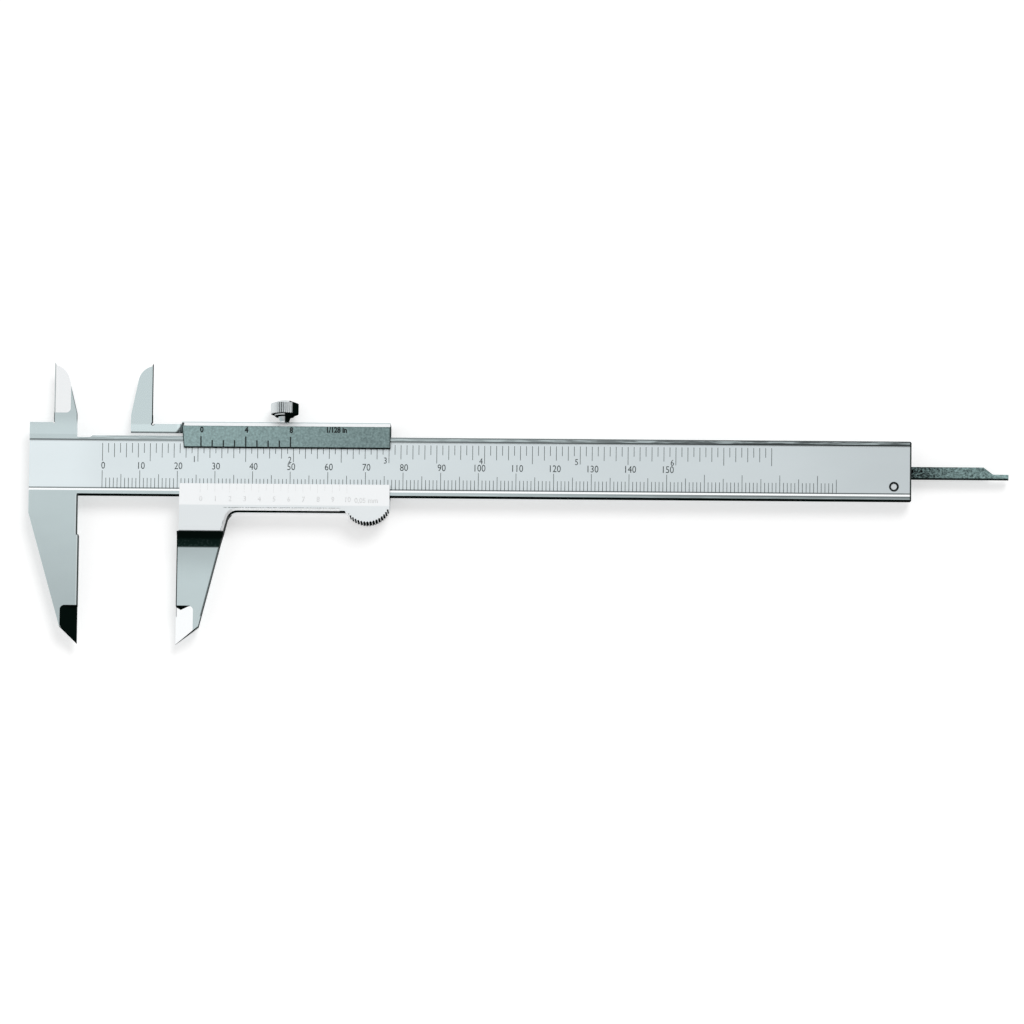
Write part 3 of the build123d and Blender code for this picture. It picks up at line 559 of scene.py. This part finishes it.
class SliderFinish(SteelFinish):
    """Blasted upper lip, bright lower lip, pale body and ground jaws, with painted light and
    shade: the lower lip's brightness is a painted highlight, and the dark edges, hollows and
    downward walls are painted shade.
    """

    def __init__(self, owner, colours):
        super().__init__(owner, colours, (MOVING_X, MID_Y, BACK_Z))
        x, y, z = self.x, self.y, self.z
        self.speck = self.noise((1.7, 1.7, 1.7), detail=2.0)
        self.flat = self.up.rise(*LEVEL)
        self.wall = 1 - self.up.rise(*OPEN)
        self.body = (1 - y.rise(-3.2, -3.0)) * y.rise(STEP_TOP, STEP_TOP + 0.05)
        self.body = self.body * z.past(BODY_LEVEL)
        self.upper = y.rise(3.0, 3.2) * z.rise(3.4, 3.6) * (1 - self.along.rise(0.2, 0.4))
        self.step = y.band(STEP_FOOT, STEP_TOP + 0.1, 0.25) * z.rise(1.5, 2.0)
        self.from_back = x - (KNEE[0] + (y - KNEE[1]) * BACK_SLOPE)
        self.thumb = x.past(THUMB_START) * (1 - y.rise(-11.6, -11.2))

    def jaws(self):
        """Ground jaws, with painted light that makes them lighter towards the outside tip and
        above the beam.
        """
        y = self.y
        shade = 0.85 + (1 - y.rise(-32, -21)) * 0.26 + y.rise(0, 1) * 0.15
        shade = shade * (1.045 + self.cloud * 0.12)
        shade = shade * (1 + y.rise(8, 9) * 0.24 + y.band(8.5, ARM_TOP - 0.2, 0.1) * 0.1)
        self.colour = self.tint(self.ground, shade)

    def thick_body(self):
        """Pale body below the beam, with a painted highlight on the lower lip's bevel."""
        shade = 0.95 + self.cloud * 0.06 + self.x.rise(38, 50) * 0.03
        self.paint(self.body, self.colours.pale_chrome, shade)
        lip = self.along.rise(0.12, 0.2) * self.up.rise(*OPEN)
        self.paint(lip, self.bright, 0.925 + self.grain * 0.03 + self.y.rise(0, 3) * 0.06)

    def upper_lip(self):
        """Blasted lip, greener and with painted shade darker towards its right end, with black
        ends and edge of painted shade and a painted light strip along the slider's top.
        """
        x, y = self.x, self.y
        on_lip = self.upper * x.past(LIP_START - STEP_WIDTH)
        top, thin = UPPER_TOP / MM, UPPER_EDGE / MM
        shade = 1.04 - x.rise(0, 60) * 0.34 + (self.grain - 0.5) * 0.4 + (self.speck - 0.5) * 0.9
        shade = shade * (1 - y.rise(top - 0.4, top - 0.1) * 0.2)
        self.paint(on_lip, self.colours.blasted_steel, shade)
        from_end = x - LIP_START - (SLIDER_TOP - y) * LIP_LEAN
        right_end = x.past(SLIDER_END - 0.25)
        ends = (1 - from_end.past(0.2)).most(right_end)
        self.paint_black_shade((ends * 0.85).most(y.band(thin - 1, thin + 0.3)) * on_lip)
        self.paint(y.rise(SLIDER_TOP - 0.32, SLIDER_TOP - 0.2), self.ground, 1.3)

    def facets(self):
        """Knife facets with painted reflections: bright where they face left, dark where they face
        right.
        """
        x, y = self.x, self.y
        self.paint(self.faces_left * (1 - y.rise(-9, -8)), self.bright, 0.96)
        self.paint_black_shade(self.faces_right * y.past(ARM_TOP))

        # A painted dark reflection, a black wedge, points down into the outside facet from its
        # upper end.
        depth = KNIFE_TOP - y
        left_side = (x * 0.6 + 0.25 - depth).past(0)
        right_side = ((3.7 - x) * 0.43 - depth).past(0)
        self.paint_black_shade(left_side * right_side * depth.rise(-0.15, 0) * self.z.rise(1.5, 1.8))

    def hollows(self):
        """Painted shade in the hollow step under the thick body, and a painted shadow on the ramp
        beside the arm.
        """
        x, y = self.x, self.y
        # Painted shade: dark speckled green in the hollow step, black towards its top.
        hollow_shade = self.mix(self.speck.rise(0.5, 0.7), (0.010, 0.026, 0.022), (0.04, 0.07, 0.065))
        self.paint(self.step, hollow_shade)
        self.paint_black_shade(self.step * (0.5 + y.rise(STEP_FOOT + 1.6, STEP_FOOT + 2.6) * 0.5))
        ramp = (x - LIP_START + (ARM_TOP - y) * 0.75).rise(-0.4, 0.3) * y.rise(8, 8.2)
        ramp = ramp * (1 - x.past(LIP_START + 0.6))
        ramp = ramp * (1 - y.past(ARM_TOP - 0.05)) * (1 - self.upper)
        self.paint(ramp, self.ground, 0.12 + self.grain.rise(0.45, 0.7) * 0.35)

    def edges(self):
        """Painted shade: dark lines under the arm, on the outside jaw's edges and round the
        blade's root.
        """
        x, y, z = self.x, self.y, self.z
        foot = (1 - y.past(ARM_FOOT + 0.25)) * y.past(8.5)
        self.paint_black_shade(foot * (1 - z.rise(2.0, 2.2)) * self.flat * 0.7)
        jaw = y.band(-40.5, STEP_FOOT + 0.5, 0.3) * self.flat
        self.paint_black_shade(jaw * (1 - x.rise(THIN_EDGE, THIN_EDGE + 0.06)) * 0.9)
        back = self.from_back.past(-THIN_EDGE - 0.05)
        self.paint_black_shade(jaw * back * 0.7)
        root = 1 - self.distance((BLADE_EDGE, ARM_TOP)).rise(0.42, 0.5)
        self.paint_black_shade(root * z.rise(1.0, 1.5))

    def lower_edge(self):
        """Painted highlight on the chamfer, with a patchy line of painted shade above it, over
        walls painted black above and bright below.
        """
        x, y, z, up, grain = self.x, self.y, self.z, self.up, self.grain
        chamfer = up.rise(0.5, 0.6) * (1 - up.rise(0.8, 0.9)) * z.rise(3.6, 3.8)
        chamfer = chamfer * (1 - y.past(BEVEL_FOOT - STEP_WIDTH)) * (1 - self.step)
        self.paint(chamfer, self.bright, 0.86 + grain.rise(0.35, 0.65) * 0.14)
        edge_y = SLIDER_LOW + CHAMFER
        shaded = y.band(edge_y - 0.05, edge_y + 0.15, 0.04) * x.band(THROAT, THUMB_START - 1.5, 0.5)
        inner = self.from_back.band(-CHAMFER - 0.15, -CHAMFER + 0.1)
        shaded = shaded.most(inner * y.band(STEP_TOP, -14.9, 0.1))
        self.paint(shaded * self.flat * grain.rise(0.35, 0.55), self.ground, 0.55)
        under = (0 - self.along).rise(0.45, 0.6) * self.wall * (1 - self.thumb)
        self.paint_black_shade(under * z.rise(0.6, 1.6))
        self.paint(under * (1 - z.rise(0.6, 1.6)), self.bright, 0.96)

    def thumb_rest(self):
        """Painted shade in the gaps between the thumb rest's teeth, and a painted highlight on
        their crests.
        """
        teeth = (0 - self.along).rise(0.1, 0.2) * self.wall * self.thumb
        crest = self.distance(THUMB).rise(THUMB_RADIUS - 0.13, THUMB_RADIUS - 0.05)
        crest = crest.most(1 - self.x.past(THUMB_START + 0.9))
        self.paint_black_shade(teeth * (1 - crest))
        self.paint(teeth * crest, self.bright, 0.96)

    def right_end(self):
        """Painted shade: a dark wall at the right-hand end, above and below the lower lip's
        painted highlight.
        """
        beyond_lip = self.y.rise(-8.7, -8.5).most(1 - self.y.rise(-12.5, -12.0))
        self.paint_black_shade(self.across.rise(*FACING) * self.wall * beyond_lip * 0.9)


def new_finish(name):
    """A material and the Finish that draws it."""
    material = bpy.data.materials.new(name)
    return material, Finish(material)


def dress(material, *node_names):
    """Gives CAD nodes a material in place of the one they came with."""
    for name in node_names:
        materials = frame["nodes"][name].data.materials
        materials.clear()
        materials.append(material)


# ---- Modelling -----------------------------------------------------------------------
def deselect():
    """Leaves nothing selected, so that an operator acts on the new piece alone."""
    if bpy.context.object is not None and bpy.context.object.mode != "OBJECT":
        bpy.ops.object.mode_set(mode="OBJECT")
    bpy.ops.object.select_all(action="DESELECT")


def activate(*pieces):
    """Selects pieces and makes the first one active."""
    deselect()
    for piece in pieces:
        piece.select_set(True)
    bpy.context.view_layer.objects.active = pieces[0]


def thicken(sizes):
    """Makes a closed slab as thick as the filling from the flat mesh in edit mode."""
    thickness = sizes.ink_sink + sizes.ink_height
    bpy.ops.mesh.extrude_region_move(TRANSFORM_OT_translate={"value": (0, 0, thickness)})
    bpy.ops.mesh.select_all(action="SELECT")
    bpy.ops.mesh.normals_make_consistent(inside=False)
    bpy.ops.object.mode_set(mode="OBJECT")


def engraved_line(sizes, x, foot, length, width=None):
    """One filled line as a thin bar that stands on its foot and points along Y."""
    deselect()
    width = width or sizes.line_width
    end = sizes.line_width / 3
    bpy.ops.mesh.primitive_plane_add(size=1, location=(x, foot + length / 2, -sizes.ink_sink))
    line = bpy.context.object
    line.scale = (width, abs(length), 1)
    bpy.ops.object.transform_apply(location=False, rotation=False, scale=True)
    bpy.ops.object.mode_set(mode="EDIT")
    bpy.ops.mesh.bevel(offset=end, affect="VERTICES")
    thicken(sizes)
    return line


def repeat(line, step, count):
    """Copies a line along X and keeps the copies in its mesh."""
    if count > 1:
        activate(line)
        copies = line.modifiers.new("copies", "ARRAY")
        copies.use_relative_offset = False
        copies.use_constant_offset = True
        copies.constant_offset_displace = (step, 0, 0)
        copies.count = count
        bpy.ops.object.modifier_apply(modifier=copies.name)
    return line


def engraved_text(sizes, words, middle, height, stroke):
    """Figures or letters round their middle in plan, as a thin slab."""
    deselect()
    bpy.ops.object.text_add(location=(*middle, -sizes.ink_sink))
    piece = bpy.context.object
    text = piece.data
    text.body = words
    text.align_x = "CENTER"
    text.align_y = "BOTTOM_BASELINE"
    text.size = height / CAP_HEIGHT
    text.offset = stroke * text.size
    text.resolution_u = 3
    bpy.ops.object.convert(target="MESH")
    piece = bpy.context.object
    piece.location.y -= height / 2
    piece.scale.x = FIGURE_WIDTH
    bpy.ops.object.mode_set(mode="EDIT")
    bpy.ops.mesh.select_all(action="SELECT")
    bpy.ops.mesh.remove_doubles(threshold=0.001 * MM)
    thicken(sizes)
    return piece


def figure_row(sizes, values, step, start, height, stroke):
    """Figures in a row, a step apart for each unit; start is the middle of a nought."""
    return [
        engraved_text(sizes, str(value), (value * step + start[0], start[1]), height, stroke)
        for value in values
    ]


def settle(name, pieces, level, body, material):
    """Joins pieces drawn flat, lays them on a face of the object and names the result."""
    activate(*pieces)
    if len(pieces) > 1:
        bpy.ops.object.join()
    piece = bpy.context.object
    bpy.ops.object.transform_apply(location=True, rotation=True, scale=True)
    piece.data.transform(level)
    piece.data.materials.clear()
    piece.data.materials.append(material)
    piece.name = piece.data.name = name
    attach(piece, body)
    return piece


def lip_level(sizes, edge, top):
    """Bevel of a lip between its thin edge and its top, from its vernier's zero line."""
    edge_z = FRONT_Z + RUN + LIP_EDGE
    slope = (LIP_FRONT_Z - edge_z) / (top - edge)
    turn = Euler((math.atan(slope), 0, 0)).to_matrix().to_4x4()
    return Matrix.Translation((MOVING_X + sizes.zero_offset, MID_Y + edge, edge_z)) @ turn


def ink_material(name, colour):
    """Matt filling of the engraved lines."""
    material, finish = new_finish(name)
    finish.point()
    speck = finish.noise((9.0, 9.0, 9.0))
    light = [min(1, part * 1.9 + 0.01) for part in colour]
    shade = finish.mix(speck.rise(0.35, 0.8), tuple(colour), light)
    values = {"Base Color": shade, "Roughness": 0.7 + speck * 0.2, "Metallic": 0.0}
    surface = finish.node("ShaderNodeBsdfPrincipled", inputs=values)
    finish.node("ShaderNodeOutputMaterial", inputs={"Surface": surface})
    return material


# ---- Operators: one for each piece or group ------------------------------------------
class CALIPER_OT_beam(bpy.types.Operator):
    """Finish the beam: satin scale face, scratched rails and ground jaws"""

    bl_idname = "caliper.beam"
    bl_label = "Beam finish"

    def execute(self, context):
        material = bpy.data.materials.new("beam_steel")
        finish = BeamFinish(material, context.scene.caliper_colours)
        finish.jaws()
        finish.scale_face()
        finish.rails()
        finish.lower_slope()
        finish.edges()
        finish.facets()
        finish.plate_screw()
        roughness = 0.22 + finish.face * 0.14 + finish.grain * 0.06
        height = finish.grain * 0.5 + finish.brush * 0.5
        finish.steel(finish.colour, roughness, bump=height, strength=0.06)
        dress(material, "beam")
        return {"FINISHED"}


class CALIPER_OT_slider(bpy.types.Operator):
    """Finish the slider: blasted upper lip, bright lower lip and ground jaws"""

    bl_idname = "caliper.slider"
    bl_label = "Slider finish"

    def execute(self, context):
        material = bpy.data.materials.new("slider_steel")
        finish = SliderFinish(material, context.scene.caliper_colours)
        finish.jaws()
        finish.thick_body()
        finish.upper_lip()
        finish.facets()
        finish.hollows()
        finish.edges()
        finish.lower_edge()
        finish.thumb_rest()
        finish.right_end()
        grain, speck, upper = finish.grain, finish.speck, finish.upper
        roof = finish.along.rise(*OPEN) * finish.y.rise(10, 10.4)
        roughness = 0.21 + upper * 0.19 + finish.body * 0.13 + grain * 0.05 + roof * 0.38
        height = (grain * 0.6 + speck * 0.8) * upper
        finish.steel(finish.colour, roughness, bump=height, strength=0.1)
        dress(material, "slider")
        return {"FINISHED"}


class CALIPER_OT_rod(bpy.types.Operator):
    """Finish the depth rod, drawn steel with a fine grain"""

    bl_idname = "caliper.rod"
    bl_label = "Depth rod finish"

    def execute(self, context):
        colours = context.scene.caliper_colours
        material, finish = new_finish("rod_steel")
        x, y, _ = finish.point((ROD_HIGH.x, (ROD_LOW.y + ROD_HIGH.y) / 2, BACK_Z))
        _, along, _ = finish.normal()
        grain = finish.noise((1.7, 2.2, 2.2), detail=4.0)
        speck = finish.noise((4.0, 4.0, 4.0), detail=1.0)
        # Painted light: the rod is lighter towards its tip and on its thin nose.
        shade = 0.18 + x.rise(*ROD_FADE) * 0.64 + x.rise(*ROD_NOSE) * 0.4
        shade = shade + (grain - 0.5) * 2.9 + (speck - 0.5) * 1.2
        colour = finish.tint(colours.rod_steel, shade)
        edge = 1 - y.rise(0.2 - ROD_HALF, 0.35 - ROD_HALF)
        # Painted shade: matt black along one edge and on the faces that look down.
        finish.paint_black_shade(edge.most((0 - along).rise(0.45, 0.6)) * 0.95)
        finish.steel(colour, 0.34 + grain * 0.12, bump=grain, strength=0.25)
        dress(material, "depth_rod")
        return {"FINISHED"}


class CALIPER_OT_small_pieces(bpy.types.Operator):
    """Finish the end plate, the small screws, the rivets and the brass gib"""

    bl_idname = "caliper.small_pieces"
    bl_label = "Plate, screws and gib"

    def execute(self, context):
        colours = context.scene.caliper_colours
        material, finish = new_finish("plate_steel")
        finish.point()
        brush = finish.noise((0.5, 8.0, 8.0), detail=3.0)
        colour = finish.two_tone(brush, colours.bright_steel, 0.8)
        finish.steel(colour, 0.32 + brush * 0.12, bump=brush, strength=0.2)
        dress(material, "end_plate")
        material, finish = new_finish("screw_steel")
        finish.point()
        grain = finish.noise((6.0, 6.0, 6.0), detail=3.0)
        colour = finish.two_tone(grain, colours.bright_steel, 0.82, 1.1)
        finish.steel(colour, 0.28 + grain * 0.1, bump=grain, strength=0.15)
        dress(material, "end_plate_screw_lower", "end_plate_screw_upper")
        dress(material, "gib_screw_left", "gib_screw_right", "rod_rivet_left", "rod_rivet_right")
        material, finish = new_finish("gib_brass")
        finish.point()
        milled = finish.noise((0.4, 5.0, 7.0), detail=3.0)
        colour = finish.two_tone(milled, colours.brass, 0.8)
        finish.steel(colour, 0.34 + milled * 0.15, bump=milled, strength=0.2)
        dress(material, "gib_strip")
        return {"FINISHED"}


class CALIPER_OT_lock_screw(bpy.types.Operator):
    """Finish the knurled lock screw"""

    bl_idname = "caliper.lock_screw"
    bl_label = "Lock screw finish"

    def execute(self, context):
        colours = context.scene.caliper_colours
        material, finish = new_finish("knurled_steel")
        middle = (KNOB_LOW + KNOB_HIGH) / 2
        x, y, _ = finish.point((middle.x, KNOB_HIGH.y, middle.z))
        _, along, _ = finish.normal()
        grain = finish.noise((4.0, 4.0, 4.0), detail=3.0)
        colour = finish.two_tone(grain, colours.bright_steel, 0.85, 1.15)
        crown = x.rise(1.1, 1.5) * y.past(CROWN_FOOT)
        neck = x.rise(0, 0.25) * (1 - y.past(KNURL_FOOT))
        # Painted shade and reflection: matt black on the right side, the crown's right part, the
        # right half of the neck and the faces that look down.
        finish.paint_black_shade(x.rise(2.0, 2.25).most(crown).most(neck))
        finish.paint_black_shade((0 - along).rise(*FACING))
        finish.steel(colour, 0.30 + grain * 0.1, bump=grain, strength=0.1)
        dress(material, "lock_screw")
        return {"FINISHED"}


class CALIPER_OT_millimetre_scale(bpy.types.Operator):
    """Engrave the millimetre scale along the lower edge of the beam"""

    bl_idname = "caliper.millimetre_scale"
    bl_label = "Millimetre scale"

    def execute(self, context):
        sizes = context.scene.caliper_sizes
        ink = ink_material("scale_fill", context.scene.caliper_colours.ink)
        level = Matrix.Translation((FIXED_X + sizes.zero_offset, MID_Y, SCALE_Z))
        foot = -FACE_LOW
        tens = (MILLIMETRE_SCALE + 5) // 10  # the scale ends with a fifth line
        plain = repeat(engraved_line(sizes, MM, foot, sizes.millimetre_length), MM, 4)
        repeat(plain, 5 * MM, MILLIMETRE_SCALE // 5)
        fifth = repeat(engraved_line(sizes, 5 * MM, foot, sizes.fifth_length), 10 * MM, tens)
        tenth = repeat(engraved_line(sizes, 0, foot, sizes.tenth_length), 10 * MM, tens)
        settle("millimetre_lines", [plain, fifth, tenth], level, "beam", ink)
        values = range(0, MILLIMETRE_FIGURES + 1, 10)
        height = sizes.millimetre_figure
        figures = figure_row(sizes, values, MM, MILLIMETRE_ROW, height, FINE_STROKE)
        settle("millimetre_figures", figures, level, "beam", ink)
        return {"FINISHED"}


class CALIPER_OT_inch_scale(bpy.types.Operator):
    """Engrave the inch scale along the upper edge of the beam"""

    bl_idname = "caliper.inch_scale"
    bl_label = "Inch scale"

    def execute(self, context):
        sizes = context.scene.caliper_sizes
        ink = bpy.data.materials["scale_fill"]
        level = Matrix.Translation((FIXED_X + sizes.zero_offset, MID_Y, SCALE_Z))
        step = INCH / 16
        top = FACE_HIGH - INCH_GAP
        odd = engraved_line(sizes, step, top, -sizes.sixteenth_length)
        repeat(odd, 2 * step, 8 * INCH_SCALE)
        even = repeat(engraved_line(sizes, 2 * step, top, -sizes.eighth_length), 2 * step, 3)
        repeat(even, 8 * step, 2 * INCH_SCALE)
        half = engraved_line(sizes, 0, top, -sizes.half_length)
        repeat(half, 8 * step, 2 * INCH_SCALE + 1)
        settle("inch_lines", [odd, even, half], level, "beam", ink)
        values = range(1, INCH_SCALE)
        figures = figure_row(sizes, values, INCH, INCH_ROW, sizes.inch_figure, FINE_STROKE)
        settle("inch_figures", figures, level, "beam", ink)
        return {"FINISHED"}


class CALIPER_OT_inch_vernier(bpy.types.Operator):
    """Engrave the inch vernier on the upper lip of the slider"""

    bl_idname = "caliper.inch_vernier"
    bl_label = "Inch vernier"

    def execute(self, context):
        sizes = context.scene.caliper_sizes
        ink = ink_material("vernier_fill", context.scene.caliper_colours.bold_ink)
        level = lip_level(sizes, UPPER_EDGE, UPPER_TOP)
        step = 15 / 16 * INCH / 8
        width = sizes.bold_width
        plain = engraved_line(sizes, step, LINE_GAP, sizes.inch_vernier_length, width)
        repeat(repeat(plain, step, 3), 4 * step, 2)
        long = engraved_line(sizes, 0, LINE_GAP, sizes.inch_vernier_long, width)
        repeat(long, 4 * step, 3)
        settle("inch_vernier_lines", [plain, long], level, "slider", ink)
        height = sizes.vernier_figure
        figures = figure_row(sizes, (0, 4, 8), step, INCH_VERNIER_ROW, height, BOLD_STROKE)
        unit = engraved_text(sizes, "1/128 in", INCH_UNIT, INCH_UNIT_HEIGHT, BOLD_STROKE)
        figures.append(unit)
        settle("inch_vernier_figures", figures, level, "slider", ink)
        return {"FINISHED"}


class CALIPER_OT_millimetre_vernier(bpy.types.Operator):
    """Engrave the millimetre vernier on the lower lip of the slider"""

    bl_idname = "caliper.millimetre_vernier"
    bl_label = "Millimetre vernier"

    def execute(self, context):
        sizes = context.scene.caliper_sizes
        ink = ink_material("faint_fill", context.scene.caliper_colours.faint_ink)
        level = lip_level(sizes, -LOWER_EDGE, -LOWER_TOP)
        step = 39 * MM / 20
        width = sizes.faint_width
        odd = engraved_line(sizes, step, -LINE_GAP, -sizes.vernier_length, width)
        repeat(odd, 2 * step, 10)
        even = engraved_line(sizes, 0, -LINE_GAP, -sizes.vernier_long, width)
        repeat(even, 2 * step, 11)
        settle("millimetre_vernier_lines", [odd, even], level, "slider", ink)
        row, height = MILLIMETRE_VERNIER_ROW, sizes.vernier_figure
        figures = figure_row(sizes, range(11), 2 * step, row, height, FINE_STROKE)
        unit = engraved_text(sizes, "0,05 mm", MILLIMETRE_UNIT, height, FINE_STROKE)
        figures.append(unit)
        settle("millimetre_vernier_figures", figures, level, "slider", ink)
        return {"FINISHED"}


class CALIPER_OT_stage(bpy.types.Operator):
    """Lay the caliper on a white table under soft light, with the camera above it"""

    bl_idname = "caliper.stage"
    bl_label = "Table, light and camera"

    def execute(self, context):
        scene = context.scene
        settings = scene.caliper_stage
        scene.view_settings.view_transform = "Standard"
        self.table()
        self.sky(scene)
        self.key_light()
        self.camera(scene, settings)
        return {"FINISHED"}

    def table(self):
        """White table top that keeps the object's shadow."""
        deselect()
        bpy.ops.mesh.primitive_plane_add(size=6, location=(0, 0, 0))
        table = bpy.context.object
        table.name = "table"
        material, finish = new_finish("table_white")
        seen = self.seen(finish)
        white = finish.node("ShaderNodeBsdfDiffuse", inputs={"Color": (1, 1, 1, 1)})
        plain = finish.node("ShaderNodeBsdfDiffuse", inputs={"Color": (0.8, 0.8, 0.8, 1)})
        glow = finish.node("ShaderNodeEmission", inputs={"Strength": TABLE_GLOW})
        lit = finish.node("ShaderNodeMixShader", inputs={0: TABLE_SHARE, 1: white, 2: glow})
        surface = finish.node("ShaderNodeMixShader", inputs={0: seen, 1: plain, 2: lit})
        finish.node("ShaderNodeOutputMaterial", inputs={"Surface": surface})
        table.data.materials.append(material)

    def seen(self, finish):
        """1 where the background is seen: straight, in a reflection or through glass."""
        rays = [
            finish.node("ShaderNodeLightPath", output=f"Is {kind} Ray")
            for kind in ("Camera", "Glossy", "Transmission")
        ]
        return rays[0].most(rays[1]).most(rays[2])

    def sky(self, scene):
        """White surroundings, with cards of several brightnesses for the reflections."""
        world = bpy.data.worlds.new("studio")
        scene.world = world
        finish = Finish(world)
        x, y, z = finish.parts(finish.node("ShaderNodeTexCoord", output="Generated"))
        cards = (
            ((0 - x).rise(0.22, 0.40), CARD_LEVEL),  # left
            (y.rise(0.30, 0.50), CARD_LEVEL),  # behind
            ((0 - y).rise(0.02, 0.24) * z.rise(0.3, 0.5), FRONT_LEVEL),
            (x.rise(0.30, 0.45) * z.rise(0.15, 0.25), DARK_LEVEL),  # right
        )
        reflected = (1, 1, 1)
        for mask, level in cards:
            reflected = finish.mix(mask, reflected, (level, level, level))
        glossy = finish.node("ShaderNodeLightPath", output="Is Glossy Ray")
        colour = finish.mix(glossy, (SKY_LEVEL, SKY_LEVEL, SKY_LEVEL), reflected)
        camera = finish.node("ShaderNodeLightPath", output="Is Camera Ray")
        through = finish.node("ShaderNodeLightPath", output="Is Transmission Ray")
        colour = finish.mix(camera.most(through), colour, (1, 1, 1))
        light = finish.node("ShaderNodeBackground", inputs={"Color": colour, "Strength": 1.0})
        finish.node("ShaderNodeOutputWorld", inputs={"Surface": light})

    def key_light(self):
        """Broad lamp at the upper right, which throws the soft shadow."""
        deselect()
        bpy.ops.object.light_add(type="SUN")
        lamp = bpy.context.object
        lamp.name = "key_light"
        lamp.rotation_euler = KEY_TOWARDS.to_track_quat("Z", "Y").to_euler()
        lamp.data.energy = KEY_LEVEL
        lamp.data.angle = KEY_ANGLE
        lamp.visible_glossy = False

    def camera(self, scene, settings):
        """Long lens over the middle of the picture."""
        deselect()
        target = Vector((FIXED_X + LOOK_X, MID_Y + LOOK_Y, FRONT_Z))
        lean = (math.tan(settings.camera_right), -math.tan(settings.camera_front), 1)
        back = Vector(lean).normalized()
        right = Vector((1, 0, 0)) - back * back.x
        right.normalize()
        turn = Matrix((right, back.cross(right), back)).transposed().to_4x4()
        roll = Matrix.Rotation(settings.camera_roll, 4, "Z")
        bpy.ops.object.camera_add(location=target + back * settings.camera_distance)
        camera = bpy.context.object
        camera.rotation_euler = (turn @ roll).to_euler()
        camera.data.lens = settings.lens
        camera.data.clip_start = 0.01
        camera.data.clip_end = 20
        scene.camera = camera


OPERATORS = (
    CALIPER_OT_beam,
    CALIPER_OT_slider,
    CALIPER_OT_rod,
    CALIPER_OT_small_pieces,
    CALIPER_OT_lock_screw,
    CALIPER_OT_millimetre_scale,
    CALIPER_OT_inch_scale,
    CALIPER_OT_inch_vernier,
    CALIPER_OT_millimetre_vernier,
    CALIPER_OT_stage,
)


class CALIPER_PT_panel(bpy.types.Panel):
    """Lists the caliper's steps in the sidebar."""

    bl_idname = "CALIPER_PT_panel"
    bl_label = "Vernier caliper"
    bl_space_type = "VIEW_3D"
    bl_region_type = "UI"
    bl_category = "Caliper"

    def draw(self, context):
        for operator in OPERATORS:
            self.layout.operator(operator.bl_idname)
        for group in ("caliper_sizes", "caliper_colours", "caliper_stage"):
            settings = getattr(context.scene, group)
            box = self.layout.box()
            for name in settings.bl_rna.properties.keys():
                if name not in ("rna_type", "name"):
                    box.prop(settings, name)


CLASSES = (ScaleSizes, FinishColours, StageSettings, *OPERATORS, CALIPER_PT_panel)


def register():
    for entry in CLASSES:
        bpy.utils.register_class(entry)
    bpy.types.Scene.caliper_sizes = PointerProperty(type=ScaleSizes)
    bpy.types.Scene.caliper_colours = PointerProperty(type=FinishColours)
    bpy.types.Scene.caliper_stage = PointerProperty(type=StageSettings)


def unregister():
    del bpy.types.Scene.caliper_stage
    del bpy.types.Scene.caliper_colours
    del bpy.types.Scene.caliper_sizes
    for entry in reversed(CLASSES):
        bpy.utils.unregister_class(entry)


def main():
    register()
    bpy.ops.caliper.beam()
    bpy.ops.caliper.slider()
    bpy.ops.caliper.rod()
    bpy.ops.caliper.small_pieces()
    bpy.ops.caliper.lock_screw()
    bpy.ops.caliper.millimetre_scale()
    bpy.ops.caliper.inch_scale()
    bpy.ops.caliper.inch_vernier()
    bpy.ops.caliper.millimetre_vernier()
    bpy.ops.caliper.stage()


if __name__ == "__main__":
    main()
